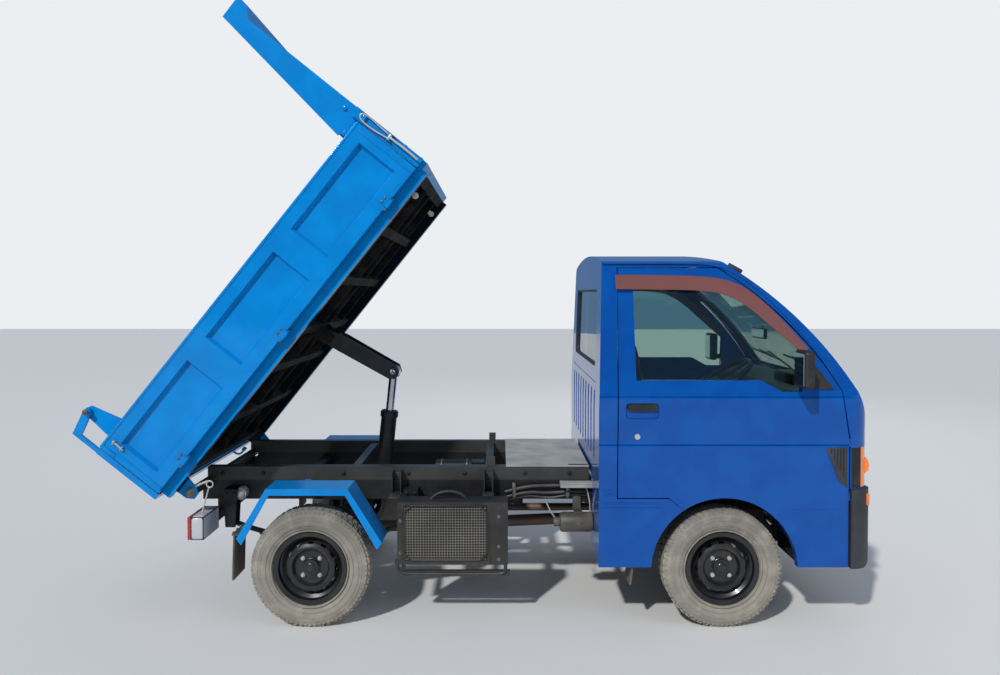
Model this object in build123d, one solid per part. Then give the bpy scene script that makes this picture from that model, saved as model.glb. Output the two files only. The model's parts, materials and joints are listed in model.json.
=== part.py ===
from build123d import *
from math import atan2, cos, degrees, hypot, radians, sin
import os

os.makedirs("parts", exist_ok=True)

# Frame: X forward, Y left, Z up, millimetres, ground at Z = 0.
# The origin is on the ground at the middle of the whole truck with its bed raised.

# Running gear
REAR_AXLE_X = -762.5
WHEELBASE = 1900
FRONT_AXLE_X = REAR_AXLE_X + WHEELBASE
TYRE_R = 272.5
TYRE_W = 145
WHEEL_Y = 599.5
AXLE_Z = TYRE_R
BEAD_R = 153
RIM_FLANGE_R = 168
RIM_HALF_W = 57
HUB_R = 36
SPINDLE_R = 20
RUN_FIT = 0.05
DRUM_R = 98
KINGPIN_Y = 455
SEAT_GAP = 0.3
VENTS = 12
SPINDLE_TIP = WHEEL_Y + 24
DRUM_OUT = WHEEL_Y - 22
DRUM_IN = WHEEL_Y - 62
STRUT_TOP = 628
STRUT_FOOT = 212
COIL_R = 50
COIL_WIRE = 11
COIL_TURNS = 6
SPRING_Y = 408
SPRING_Z = AXLE_Z + 42
SPRING_HALF = 440
SPRING_RISE = 88
LEAF_T = 8
EYE_PIN_R = 7

# Frame rails
RAIL_Y = 340
RAIL_W = 50
RAIL_H = 95
RAIL_FRONT_H = 70
RAIL_Z = 615
RAIL_MID_Z = 560
SUB_H = 66
SUB_TOP = RAIL_Z + SUB_H
SUB_FRONT = WHEELBASE - 584
TOW_X = -640
TOW_Z = 546
TOW_R = 13
TOW_T = 14
TAIL_LAMP_X = -556
TAIL_LAMP_Y = (440, 640)
ENGINE_REAR = -420
PIPE_Y = 190
PIPE_Z = 330
FENDER_OUT = WHEEL_Y + 88.5
FENDER_TOP = 648
FENDER_T = 6

# Cab, measured from the front axle
CAB_HALF_W = 690
CAB_REAR = -575
CAB_NOSE = 677
CAB_WALL = 42
ROOF_WALL = 28
CAB_BOTTOM = 290
BELT_Z = 1060
ROOF_EDGE_Z = 1662
ROOF_HALF_W = CAB_HALF_W - 84
CROWN_Z = 1736
SHUT = 5
HINGE_SHUT = 7
DOOR_CLEAR = 6
DOOR_PIN_R = 3
DOOR_HINGES = (596, 842)
DOOR_HINGE_H = 36
LUG_H = 5
ARCH_R = 335
DOOR_REAR = -493
DOOR_FRONT = 563
REAR_SILL_Z = 1190
FLUTE_LOW = 760
CREASES = (848, 1068)
HANDLE_X = -377
HANDLE_Z = 1004
DOOR_SILL_Z = 604
COWL_Z = 1090
BUMPER_TOP = 650
DECK_Z = 660
FLOOR_Z = 400
PANEL_T = 22
RAIL_FRONT_Z = FLOOR_Z - PANEL_T - SEAT_GAP
GLASS_T = 5
NOSE_BOW = 28
CORNER_R = 92
LAMP_Z = (655, 838)
LAMP_REAR = 574
LAMP_IN = CAB_HALF_W - 330
LAMP_SPLIT = CAB_HALF_W - 130
LAMP_LENS = 622
PLATE_PITCH = 210
PLATE_Z = 540
PLATE_HOLE_R = 3.5
WHEEL_TILT = 33
DASH_Z = 905

# Tipping bed, given as it lies when lowered
TILT = 51.4
PIVOT_X = -570
PIVOT_Z = 610
BED_REAR = -628
BED_FRONT = SUB_FRONT
BED_HALF_W = 690
GATE_T = 30
GATE_BOTTOM = 710
GATE_TOP = 1050
FLOOR_TOP = 735
FLOOR_T = 5
CROSS_H = 40
CROSS_W = 50
CROSS_PITCH = 310
SILL_BOTTOM = 662
SILL_W = 40
TAIL_T = 28
POST_W = 48
GUARD_Y = BED_HALF_W - 40
EAR_IN = BED_HALF_W - 104
EAR_T = 12
PIVOT_R = 22
PIVOT_PIN_R = 15
HINGES = (BED_REAR + 198, (BED_REAR + BED_FRONT) / 2 - 44, BED_FRONT - 256)
HINGE_Y = BED_HALF_W + 5
HINGE_Z = 704
HINGE_PIN_R = 5
TAIL_PIN = (-541, 1197)
TAIL_PIN_R = 8
PILLAR_IN = BED_HALF_W - 50
PILLAR_T = 12
TAIL_X = -664
# start and end of each recessed panel of a side gate, as shares of its length from the front end back
GATE_PANELS = ((0.037, 0.301), (0.369, 0.633), (0.703, 0.963))

# Hoist, from the rear axle: cylinder foot, lift arm's bed pin when lowered, rod's eye when raised
FOOT = (240, 550)
ARM_PIN = (300, 630)
EYE_UP = (300, 1120)
BARREL_R = 42
BARREL_LEN = 360
ROD_R = 22
ARM_T = 14
ARM_IN = 52
FOOT_EAR_IN = 47
FOOT_PIN_R = 14
ARM_PIN_R = 13


def rx(x):
    "X of a place measured from the rear axle"
    return REAR_AXLE_X + x


def fx(x):
    "X of a place measured from the front axle"
    return FRONT_AXLE_X + x


def box(x0, x1, y0, y1, z0, z1):
    "Box between two corners"
    return Pos((x0 + x1) / 2, (y0 + y1) / 2, (z0 + z1) / 2) * Box(x1 - x0, y1 - y0, z1 - z0)


def both(shape):
    "A piece of the right side with its mirror on the left"
    return [shape, mirror(shape, about=Plane.XZ)]


def save(name, shape):
    "Write one node; a list becomes one node of separate solids"
    if isinstance(shape, (list, tuple)):
        shape = Compound(children=list(shape))
    shape.label = name
    export_step(shape, "parts/" + name + ".step")


def side_plate(points, y0, y1):
    "Straight-edged side outline in X and Z, solid from y0 to y1"
    return side_solid(make_face(Polyline(*points, close=True)), y0, y1)


def side_solid(sketch, y0, y1):
    "Sketch drawn in X and Z, solid from y0 to y1"
    return extrude(Plane((0, y1, 0), x_dir=(1, 0, 0), z_dir=(0, -1, 0)) * sketch, y1 - y0)


def front_solid(sketch, x0, x1):
    "Sketch drawn in Y and Z, solid from x0 to x1"
    return extrude(Plane((x0, 0, 0), x_dir=(0, 1, 0), z_dir=(1, 0, 0)) * sketch, x1 - x0)


def cross_rod(x, z, r, y0, y1):
    "Round bar along Y"
    return Pos(x, (y0 + y1) / 2, z) * Rot(90, 0, 0) * Cylinder(r, y1 - y0)


def upright(x, y, r, z0, z1):
    "Round bar along Z"
    return Pos(x, y, (z0 + z1) / 2) * Cylinder(r, z1 - z0)


def ring_profile(points):
    "Closed outline of radius and place along the axis, turned round the Y axis"
    face = make_face(Polyline(*[(r, a) for r, a in points], close=True))
    return revolve(face, Axis.Y)


def tip(shape):
    "Turn a piece of the lowered bed up to the pose that is built"
    pin = (rx(PIVOT_X), 0, PIVOT_Z)
    return shape.rotate(Axis(pin, (0, 1, 0)), -TILT)


def tipped(x, z):
    "Where a side-view point of the lowered bed goes when the bed is raised, from the rear axle"
    c, s = cos(radians(TILT)), sin(radians(TILT))
    dx, dz = x - PIVOT_X, z - PIVOT_Z
    return PIVOT_X + c * dx - s * dz, PIVOT_Z + s * dx + c * dz


# Wheels and tyres
def tyre():
    half = TYRE_W / 2
    crown = TYRE_R - 2
    shoulder = TYRE_R - 11
    sidewall_r = 214
    bead = BEAD_R + SEAT_GAP
    in_w = RIM_HALF_W - 7
    wall = Line((bead, in_w), (RIM_FLANGE_R + 3, RIM_HALF_W - 3))
    bulge = ThreePointArc(wall @ 1, (sidewall_r, half), (shoulder, half - 12))
    edge = Line(bulge @ 1, (crown, half - 24))
    tread = ThreePointArc(edge @ 1, (TYRE_R, 0), (crown, 24 - half))
    edge2 = Line(tread @ 1, (shoulder, 12 - half))
    bulge2 = ThreePointArc(edge2 @ 1, (sidewall_r, -half), (RIM_FLANGE_R + 3, 3 - RIM_HALF_W))
    wall2 = Line(bulge2 @ 1, (bead, -in_w))
    inner = Line(wall2 @ 1, (bead, in_w))
    return revolve(make_face([wall, bulge, edge, tread, edge2, bulge2, wall2, inner]), Axis.Y)


def wheel():
    "Steel wheel with its outer side towards -Y"
    w = RIM_HALF_W
    # outline of the rim: radius, place along the axle
    rim = ring_profile([
        (RIM_FLANGE_R, w + 4), (RIM_FLANGE_R, w), (BEAD_R, w - 5), (BEAD_R - 3, 32), (130, 18), (130, -18),
        (BEAD_R - 3, -32), (BEAD_R, 5 - w), (RIM_FLANGE_R, -w), (RIM_FLANGE_R, -w - 4), (BEAD_R - 5, -w + 1),
        (BEAD_R - 7, -30), (124, -14), (124, 14), (BEAD_R - 7, 30), (BEAD_R - 5, w - 1)])
    # outline of the disc: radius, place along the axle
    disc = ring_profile([
        (HUB_R - 4, -18), (72, -18), (80, -22), (90, -40), (98, -42), (108, -36), (124, -8), (131, -8),
        (131, -14), (128, -14), (112, -42), (98, -48), (87, -45), (76, -26), (70, -24), (HUB_R - 4, -24)])
    hub = Pos(0, -12, 0) * Rot(90, 0, 0) * Cylinder(HUB_R, 64)
    bore = Pos(0, -2, 0) * Rot(90, 0, 0) * Cylinder(SPINDLE_R, 60)
    body = rim + disc + hub - bore
    vent = Pos(0, -25, 114) * Box(26, 40, 9)
    vents = [Rot(0, 360 / VENTS * i, 0) * vent for i in range(VENTS)]
    return body - vents


def at_wheel(shape, x, side):
    "Put a wheel piece that faces -Y at an axle end; side is -1 on the right, 1 on the left"
    if side > 0:
        shape = mirror(shape, about=Plane.XZ)
    return Pos(x, side * WHEEL_Y, AXLE_Z) * shape


def save_wheels():
    "One tyre and one wheel for each corner"
    tyre_shape = tyre()
    wheel_shape = wheel()
    # name, axle place, side
    for name, x, side in [
        ("front_right", FRONT_AXLE_X, -1), ("front_left", FRONT_AXLE_X, 1),
        ("rear_right", REAR_AXLE_X, -1), ("rear_left", REAR_AXLE_X, 1),
    ]:
        save("tyre_" + name, at_wheel(tyre_shape, x, side))
        save("wheel_" + name, at_wheel(wheel_shape, x, side))


def spindle(x):
    "Stub axle and brake drum of the right side"
    pin = cross_rod(x, AXLE_Z, SPINDLE_R - RUN_FIT, -SPINDLE_TIP, -DRUM_IN)
    drum = cross_rod(x, AXLE_Z, DRUM_R, -DRUM_OUT, -DRUM_IN)
    back = cross_rod(x, AXLE_Z, DRUM_R + 8, -DRUM_IN - 4, -DRUM_IN + 6)
    return pin + drum + back


def knuckle():
    "Right steering knuckle with its strut, which turns on the kingpin line"
    x = FRONT_AXLE_X
    y = -KINGPIN_Y
    body = box(x - 38, x + 38, -DRUM_IN + 2, y - 18, AXLE_Z - 48, AXLE_Z + 62)
    tube = upright(x, y, 25, STRUT_FOOT + 6, 430)
    rod = upright(x, y, 11, 420, STRUT_TOP)
    foot = upright(x, y, 15, STRUT_FOOT, 240)
    arm = box(x - 150, x - 20, y - 14, y + 14, AXLE_Z - 42, AXLE_Z - 26)
    return body + tube + rod + foot + arm + coil(x, y) + spindle(x)


def coil(x, y):
    "Coil spring as a stack of turns between its two seats"
    low, high = 400, STRUT_TOP - 8
    pitch = (high - low - 10) / COIL_TURNS
    outline = [(20, low - 8), (COIL_R, low - 8), (COIL_R, low)]
    for i in range(COIL_TURNS):
        z = low + i * pitch
        outline += [(COIL_R - COIL_WIRE, z + 2), (COIL_R, z + pitch / 2), (COIL_R - COIL_WIRE, z + pitch - 2)]
    outline += [(COIL_R, high), (COIL_R - 14, high + 8), (10, high + 8)]
    face = make_face(Plane.XZ * Polyline(*outline, close=True))
    return Pos(x, y, 0) * revolve(face, Axis.Z)


def rear_axle():
    "Axle tube, differential housing and both stub axles"
    tube = cross_rod(rx(0), AXLE_Z, 36, -DRUM_IN, DRUM_IN)
    housing = Pos(rx(0), 0, AXLE_Z) * Sphere(108)
    nose = Pos(rx(100), 0, AXLE_Z) * Rot(0, 90, 0) * Cone(70, 40, 90)
    pads = [box(rx(-55), rx(55), y - 30, y + 30, AXLE_Z + 10, SPRING_Z) for y in (-SPRING_Y, SPRING_Y)]
    ends = both(spindle(rx(0)))
    return tube + housing + nose + pads + ends


def leaf_spring():
    "Right leaf pack: three leaves with an eye at each end of the main one"
    pack = []
    # half length and height of each leaf above the axle pad
    for half, z in [(SPRING_HALF, 2 * LEAF_T), (300, LEAF_T), (190, 0)]:
        rise = SPRING_RISE * (half / SPRING_HALF) ** 2
        low = ThreePointArc((-half, rise), (0, 0), (half, rise))
        right_end = Line(low @ 1, (half, rise + LEAF_T))
        top = ThreePointArc(right_end @ 1, (0, LEAF_T), (-half, rise + LEAF_T))
        left_end = Line(top @ 1, (-half, rise))
        face = Pos(rx(0), SPRING_Z + z) * make_face([low, right_end, top, left_end])
        pack.append(side_solid(face, -SPRING_Y - 25, -SPRING_Y + 25))
    eye_z = SPRING_Z + 2 * LEAF_T + SPRING_RISE + 6
    eyes = [cross_rod(rx(x), eye_z, 16, -SPRING_Y - 25, -SPRING_Y + 25) for x in (-SPRING_HALF, SPRING_HALF)]
    clamp = box(rx(-48), rx(48), -SPRING_Y - 29, -SPRING_Y + 29, SPRING_Z + 3 * LEAF_T, SPRING_Z + 40)
    holes = [cross_rod(rx(x), eye_z, EYE_PIN_R + RUN_FIT, -SPRING_Y - 30, -SPRING_Y + 30)
             for x in (-SPRING_HALF, SPRING_HALF)]
    return pack[0] + pack[1] + pack[2] + eyes + clamp - holes


def spring_hangers():
    "Brackets of the right rail that hold the spring eyes"
    eye_z = SPRING_Z + 2 * LEAF_T + SPRING_RISE + 6
    out = []
    for x in (-SPRING_HALF, SPRING_HALF):
        for y0 in (-SPRING_Y - 34, -SPRING_Y + 26):
            out.append(side_plate([
                (rx(x - 24), eye_z - 24), (rx(x + 24), eye_z - 24), (rx(x + 34), RAIL_Z - 30),
                (rx(x - 34), RAIL_Z - 30)], y0, y0 + 8))
        out.append(cross_rod(rx(x), eye_z, EYE_PIN_R, -SPRING_Y - 34, -SPRING_Y + 34))
        out.append(box(rx(x - 34), rx(x + 34), -SPRING_Y - 34, -RAIL_Y, RAIL_Z - 60, RAIL_Z - 30))
    return out


# Chassis
def rail():
    "Right chassis rail, which drops under the cab's front floor"
    tail_z = PIVOT_Z - PIVOT_R - 4
    rear = [(-600, RAIL_Z - RAIL_H), (-600, tail_z), (-545, tail_z), (-530, RAIL_Z)]
    front = [(-630, RAIL_Z), (-480, RAIL_MID_Z), (200, RAIL_MID_Z), (325, RAIL_FRONT_Z), (600, RAIL_FRONT_Z),
             (600, RAIL_FRONT_Z - RAIL_FRONT_H), (285, RAIL_FRONT_Z - RAIL_FRONT_H), (170, RAIL_MID_Z - RAIL_H),
             (-505, RAIL_MID_Z - RAIL_H), (-655, RAIL_Z - RAIL_H)]
    points = [(rx(x), z) for x, z in rear] + [(fx(x), z) for x, z in front]
    return side_plate(points, -RAIL_Y - RAIL_W / 2, -RAIL_Y + RAIL_W / 2)


def frame_rails():
    "Both rails with their spring hangers and strut mounts"
    shape = rail() + strut_mount()
    for bracket in spring_hangers():
        shape = shape + bracket
    return both(shape)


def cross_members():
    "Bars between the rails; the rearmost carries the tow eye"
    reach = RAIL_Y - RAIL_W / 2 - SEAT_GAP
    # rear face, depth, bottom and top of each bar
    places = [
        (rx(-600), 45, 522, 582), (rx(-150), 50, 530, 600), (rx(740), 50, 530, 600), (fx(-800), 50, 530, 600),
        (fx(-475), 40, 480, 540), (fx(190), 35, 460, 520), (fx(540), 50, 312, 370)]
    bars = [box(x, x + depth, -reach, reach, z0, z1) for x, depth, z0, z1 in places]
    return [bars[0] + tow_eye()] + bars[1:]


def tow_eye():
    "Eye plate on the rear cross member"
    plate = side_plate([(rx(-590), TOW_Z - 22), (rx(TOW_X), TOW_Z - 22), (rx(TOW_X), TOW_Z + 22),
                        (rx(-590), TOW_Z + 22)], -TOW_T / 2, TOW_T / 2)
    ring = cross_rod(rx(TOW_X), TOW_Z, 22, -TOW_T / 2, TOW_T / 2)
    return plate + ring - cross_rod(rx(TOW_X), TOW_Z, TOW_R, -TOW_T, TOW_T)


def strut_mount():
    "Bracket that carries the head of the right strut"
    x = FRONT_AXLE_X
    top = STRUT_TOP + SEAT_GAP
    plate = box(x - 60, x + 60, -KINGPIN_Y - 58, -RAIL_Y, top, top + 8)
    web = side_plate([(x - 60, top + 8), (x - 40, 520), (x + 40, 520), (x + 60, top + 8)],
                     -RAIL_Y - RAIL_W / 2 - 6, -RAIL_Y)
    return plate + web


def lower_arm():
    "Right lower arm and its leading rod"
    x = FRONT_AXLE_X
    z = STRUT_FOOT - SEAT_GAP
    arm = box(x - 26, x + 26, -KINGPIN_Y - 22, -150, z - 24, z)
    rod = box(x + 20, x + 330, -RAIL_Y - 16, -RAIL_Y + 16, z - 20, z - 4)
    hanger = box(x + 300, x + 340, -RAIL_Y - 20, -RAIL_Y + 20, z - 20, RAIL_FRONT_Z - RAIL_FRONT_H - SEAT_GAP)
    return arm + rod + hanger


def front_suspension():
    "Both lower arms, the rods that brace them and the beam between them"
    x = FRONT_AXLE_X
    z = STRUT_FOOT - SEAT_GAP
    beam = box(x - 40, x + 40, -190, 190, z - 30, z + 8)
    top = RAIL_MID_Z - RAIL_H - SEAT_GAP
    ties = [box(x - 30, x + 30, y - 20, y + 20, z - 10, top) for y in (-335, 335)]
    return beam + both(lower_arm()) + ties


# Tipping gear on the chassis
def subframe():
    "Rails on the chassis rails, cross members, bed pivot tube and cylinder foot"
    x0 = rx(PIVOT_X - 6)
    rails = both(box(x0, rx(SUB_FRONT), -RAIL_Y - RAIL_W / 2, -RAIL_Y + RAIL_W / 2, RAIL_Z, SUB_TOP))
    inner = RAIL_Y - RAIL_W / 2 + 2
    foot_bar = FOOT[0] - 110
    cross = [box(rx(x), rx(x + 40), -inner, inner, RAIL_Z + 15, SUB_TOP - 8) for x in (foot_bar, 800, SUB_FRONT - 46)]
    reach = RAIL_Y - RAIL_W / 2 - SEAT_GAP
    cross.append(box(rx(foot_bar), rx(foot_bar + 40), -reach, reach, 545, RAIL_Z + 20))
    guide = both(box(rx(812), rx(850), -RAIL_Y - 14, -RAIL_Y + 14, SUB_TOP - 2, FLOOR_TOP - FLOOR_T - 6))
    tube_end = EAR_IN - 5
    tube = cross_rod(rx(PIVOT_X), PIVOT_Z, PIVOT_R, -tube_end, tube_end)
    pin = cross_rod(rx(PIVOT_X), PIVOT_Z, PIVOT_PIN_R, -EAR_IN - EAR_T - 8, EAR_IN + EAR_T + 8)
    ears = [foot_ear(y) for y in (-FOOT_EAR_IN - 12, FOOT_EAR_IN)]
    foot_pin = cross_rod(rx(FOOT[0]), FOOT[1], FOOT_PIN_R, -FOOT_EAR_IN - 12, FOOT_EAR_IN + 12)
    return rails[0] + rails[1] + cross + guide + tube + pin + ears + foot_pin


def foot_ear(y):
    "Ear that holds the cylinder's foot pin"
    x, z = FOOT
    return side_plate([(rx(x - 90), z - 5), (rx(x), z - 32), (rx(x + 28), z), (rx(x), z + 32), (rx(x - 90), z + 60)],
                      y, y + 12)


def deck_plate():
    "Plate on the rails behind the cab"
    top = SUB_TOP + 4
    return box(rx(SUB_FRONT - 411), rx(SUB_FRONT), -RAIL_Y - RAIL_W / 2, RAIL_Y + RAIL_W / 2, SUB_TOP, top)


def hoist_dir(a, b):
    "Length and angle in degrees of the line from a to b in side view"
    return hypot(b[0] - a[0], b[1] - a[1]), degrees(atan2(b[1] - a[1], b[0] - a[0]))


def along(shape, origin, angle):
    "Lay a piece built along +X from zero on a side-view line"
    return Pos(rx(origin[0]), 0, origin[1]) * Rot(0, -angle, 0) * shape


def x_rod(r, x0, x1):
    "Round bar along X"
    return Pos((x0 + x1) / 2, 0, 0) * Rot(0, 90, 0) * Cylinder(r, x1 - x0)


def hoist_cylinder():
    angle = hoist_dir(FOOT, EYE_UP)[1]
    eye = cross_rod(0, 0, 32, -FOOT_EAR_IN + 8, FOOT_EAR_IN - 8)
    body = x_rod(BARREL_R, 24, BARREL_LEN) + eye
    collar = x_rod(BARREL_R + 6, BARREL_LEN - 34, BARREL_LEN - 6)
    cut = x_rod(ROD_R + RUN_FIT, 48, BARREL_LEN + 1) + cross_rod(0, 0, FOOT_PIN_R + RUN_FIT, -60, 60)
    return along(body + collar - cut, FOOT, angle)


def hoist_rod():
    length, angle = hoist_dir(FOOT, EYE_UP)
    rod = x_rod(ROD_R, length - 360, length - 20)
    eye = cross_rod(length, 0, 34, -40, 40)
    hole = cross_rod(length, 0, 15, -41, 41)
    return along(rod + eye - hole, FOOT, angle)


def lift_arm():
    "Two cheeks from the bed's pin to the rod's eye, joined by a tube at the bed end"
    pin = tipped(*ARM_PIN)
    length, angle = hoist_dir(pin, EYE_UP)
    outline = [(-34, -30), (-34, 34), (60, 52), (length + 8, 40), (length + 34, 14), (length + 34, -22),
               (length, -40), (60, -34)]
    cheek = side_plate(outline, -ARM_IN - ARM_T, -ARM_IN)
    tie = cross_rod(36, 32, 12, -ARM_IN - 2, ARM_IN + 2)
    boss = cross_rod(length, 0, 26, -ARM_IN - ARM_T - 8, -ARM_IN - ARM_T + 2)
    hole = cross_rod(0, 0, ARM_PIN_R + RUN_FIT, -90, 90)
    eye_hole = cross_rod(length, 0, 15, -90, 90)
    arm = both(cheek)[0] + both(cheek)[1] + tie + both(boss) - hole - eye_hole
    return along(arm, pin, angle)


def pump():
    "Electric pump and its oil tank, lying between the rails"
    motor = Pos(rx(640), -205, 645) * Rot(0, 90, 0) * Cylinder(36, 190)
    valve = box(rx(728), rx(794), -245, -170, 606, 676)
    foot = box(rx(745), rx(785), -240, -180, 600 + SEAT_GAP, 610)
    return motor + valve + foot


# Cab shell
def cab_side_outline(inset):
    "Side view of the cab; inset draws the inner face"
    i = inset
    rear = Line((CAB_REAR + i, CAB_BOTTOM - 60), (CAB_REAR + i, 1000))
    lean = Line(rear @ 1, (CAB_REAR + 24 + i, 1790))
    top = Line(lean @ 1, (-190, 1790))
    brow = Line(top @ 1, (-110 - i * 0.3, ROOF_EDGE_Z + 74 - i * 0.8))
    head = ThreePointArc(brow @ 1, (-28 - i * 0.6, ROOF_EDGE_Z + 48 - i * 0.8), (36 - i * 0.7, ROOF_EDGE_Z + 5 - i * 0.8))
    screen = ThreePointArc(head @ 1, (368 - i * 0.8, 1400 - i * 0.7), (CAB_NOSE - 70 - i, COWL_Z))
    brow2 = ThreePointArc(screen @ 1, (CAB_NOSE - 22 - i, 985), (CAB_NOSE - i, 850))
    nose = Line(brow2 @ 1, (CAB_NOSE + 6 - i, BUMPER_TOP))
    chin = Line(nose @ 1, (CAB_NOSE - 10 - i, CAB_BOTTOM - 60))
    close = Line(chin @ 1, rear @ 0)
    return make_face([rear, lean, top, brow, head, screen, brow2, nose, chin, close])


def cab_plan(inset, grow=0):
    "Plan view of the cab with a bowed nose and rounded corners"
    w = CAB_HALF_W - inset + grow
    x = CAB_NOSE - 16 - inset + grow
    back = CAB_REAR - 50
    left = Line((fx(x), w), (fx(back), w))
    rear = Line(left @ 1, (fx(back), -w))
    right = Line(rear @ 1, (fx(x), -w))
    nose = ThreePointArc(right @ 1, (fx(x + NOSE_BOW), 0), left @ 0)
    face = make_face([left, rear, right, nose])
    corners = face.vertices().sort_by(Axis.X)[-2:]
    return fillet(corners, CORNER_R - inset * 0.6 + grow)


def cab_front_outline(inset):
    "Front view of the cab: straight below the belt, leaning in above it, crowned roof"
    w = CAB_HALF_W - inset
    roof = ROOF_WALL / CAB_WALL * inset
    shoulder = ROOF_HALF_W - inset
    side_r = Line((-w, CAB_BOTTOM - 60), (-w, BELT_Z))
    lean_r = Line(side_r @ 1, (-shoulder, ROOF_EDGE_Z + 24 - roof))
    crown = ThreePointArc(lean_r @ 1, (0, CROWN_Z - roof), (shoulder, ROOF_EDGE_Z + 24 - roof))
    lean_l = Line(crown @ 1, (w, BELT_Z))
    side_l = Line(lean_l @ 1, (w, CAB_BOTTOM - 60))
    base = Line(side_l @ 1, side_r @ 0)
    face = make_face([side_r, lean_r, crown, lean_l, side_l, base])
    tops = face.vertices().sort_by(Axis.Y)[-2:]
    return fillet(tops, 46 - inset * 0.5)


def cab_form(inset):
    "Solid of the cab out to one skin"
    side = side_solid(Pos(FRONT_AXLE_X, 0) * cab_side_outline(inset), -CAB_HALF_W - 110, CAB_HALF_W + 110)
    plan = extrude(Plane((0, 0, 200)) * cab_plan(inset), 1700)
    front = front_solid(cab_front_outline(inset), fx(CAB_REAR - 40), fx(CAB_NOSE + 60))
    return side & plan & front


def door_outline(gap):
    "Side view of the right door; gap draws it inside its opening"
    g = gap
    f = DOOR_FRONT - (0 if gap else -HINGE_SHUT)
    bottom = CAB_BOTTOM - (0 if gap else 20)
    low = Line((DOOR_REAR + g, DOOR_SILL_Z + g), (-255 - g * 0.3, DOOR_SILL_Z + g))
    slope = Line(low @ 1, (-150, 520))
    under = Line(slope @ 1, (150, 400))
    toe = Line(under @ 1, (ARCH_R - 40, bottom))
    base = Line(toe @ 1, (f, bottom))
    front = Line(base @ 1, (f, 880))
    hip = Line(front @ 1, (534 - (0 if not g else 4), COWL_Z + 6))
    pillar = ThreePointArc(hip @ 1, (310 - g, 1396 - g * 0.8), (-16 - g * 0.6, ROOF_EDGE_Z - g * 0.9))
    head = Line(pillar @ 1, (DOOR_REAR + 8 + g, ROOF_EDGE_Z - g * 0.9))
    back = Line(head @ 1, low @ 0)
    return make_face([low, slope, under, toe, base, front, hip, pillar, head, back])


def window_outline(grow):
    "Side view of the door's glass opening"
    g = grow
    rear = Line((-404 - g, 1143 - g), (-412 - g, 1606 + g))
    head = Line(rear @ 1, (-30, 1606 + g))
    pillar = ThreePointArc(head @ 1, (190 + g * 0.6, 1462 + g * 0.8), (350 + g, 1292 + g))
    drop = Line(pillar @ 1, (350 + g, 1092 - g))
    foot = Line(drop @ 1, (262, 1092 - g))
    ramp = Line(foot @ 1, (168, 1143 - g))
    sill = Line(ramp @ 1, rear @ 0)
    return make_face([rear, head, pillar, drop, foot, ramp, sill])


def right_slab(sketch):
    "Side-view sketch, from the front axle, cut through the whole right half"
    return side_solid(Pos(FRONT_AXLE_X, 0) * sketch, -CAB_HALF_W - 130, -CAB_HALF_W + 390)


def arch_cut():
    "Round of the front wheel arches"
    return cross_rod(FRONT_AXLE_X, AXLE_Z, ARCH_R, -CAB_HALF_W - 130, CAB_HALF_W + 130)


def screen_opening(grow):
    "Front view of the windshield"
    foot = CAB_HALF_W - 88 + grow
    head = ROOF_HALF_W - 66 + grow
    z0, z1 = COWL_Z + 30 - grow, 1640 + grow
    face = make_face(Polyline((-foot, z0), (foot, z0), (head, z1), (-head, z1), close=True))
    return front_solid(fillet(face.vertices(), 50), fx(-60), fx(CAB_NOSE))


def rear_opening(grow):
    "Front view of the rear window"
    foot = ROOF_HALF_W - 106 + grow
    z0, z1 = REAR_SILL_Z - grow, 1560 + grow
    face = make_face(Polyline((-foot, z0), (foot, z0), (foot - 20, z1), (20 - foot, z1), close=True))
    return front_solid(fillet(face.vertices(), 45), fx(CAB_REAR - 30), fx(CAB_REAR + 120))


def rear_wall_press():
    "What is pressed into the rear wall: a shelf line under the window and upright flutes below it"
    x = fx(CAB_REAR)
    reach = CAB_HALF_W - 150
    shelf = box(x - 5, x + 6, -reach, reach, REAR_SILL_Z - 74, REAR_SILL_Z - 62)
    flutes = []
    count = 9
    pitch = 2 * (reach - 40) / (count - 1)
    for i in range(count):
        y = -reach + 40 + i * pitch
        groove = Pos(x, y, (FLUTE_LOW + REAR_SILL_Z - 110) / 2) * Box(14, 44, REAR_SILL_Z - 110 - FLUTE_LOW)
        flutes.append(chamfer(groove.edges().filter_by(Axis.Z), 5))
    return [shelf] + flutes


def creases():
    "Pressed lines along the right flank, one under the window and one above the lamps"
    x0, x1 = fx(CAB_REAR - 20), fx(CAB_NOSE - CORNER_R - 16)
    lines = [Pos(0, -CAB_HALF_W, z) * Rot(45, 0, 0) * Box(2000, 7, 7) for z in CREASES]
    zone = box(x0, x1, -CAB_HALF_W - 20, -CAB_HALF_W + 20, DOOR_SILL_Z, BELT_Z + 60)
    lines = [Pos(FRONT_AXLE_X, 0, 0) * line & zone for line in lines]
    return lines


def handle_room():
    "Pocket behind the right door's handle"
    z = (HANDLE_Z - 36, HANDLE_Z + 36)
    pocket = box(fx(HANDLE_X - 76), fx(HANDLE_X + 76), -CAB_HALF_W - 10, -CAB_HALF_W + 16, z[0], z[1])
    return fillet(pocket.edges().filter_by(Axis.Y), 18)


def door_handle():
    "Right door's handle, a bar across its pocket"
    bar = box(fx(HANDLE_X - 66), fx(HANDLE_X + 66), -CAB_HALF_W + 1, -CAB_HALF_W + 10, HANDLE_Z + 2, HANDLE_Z + 32)
    bar = fillet(bar.edges().filter_by(Axis.Y), 8)
    feet = [box(fx(x - 8), fx(x + 8), -CAB_HALF_W + 9, -CAB_HALF_W + 16 - SEAT_GAP, HANDLE_Z + 8, HANDLE_Z + 26)
            for x in (HANDLE_X - 50, HANDLE_X + 50)]
    return bar + feet


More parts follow.
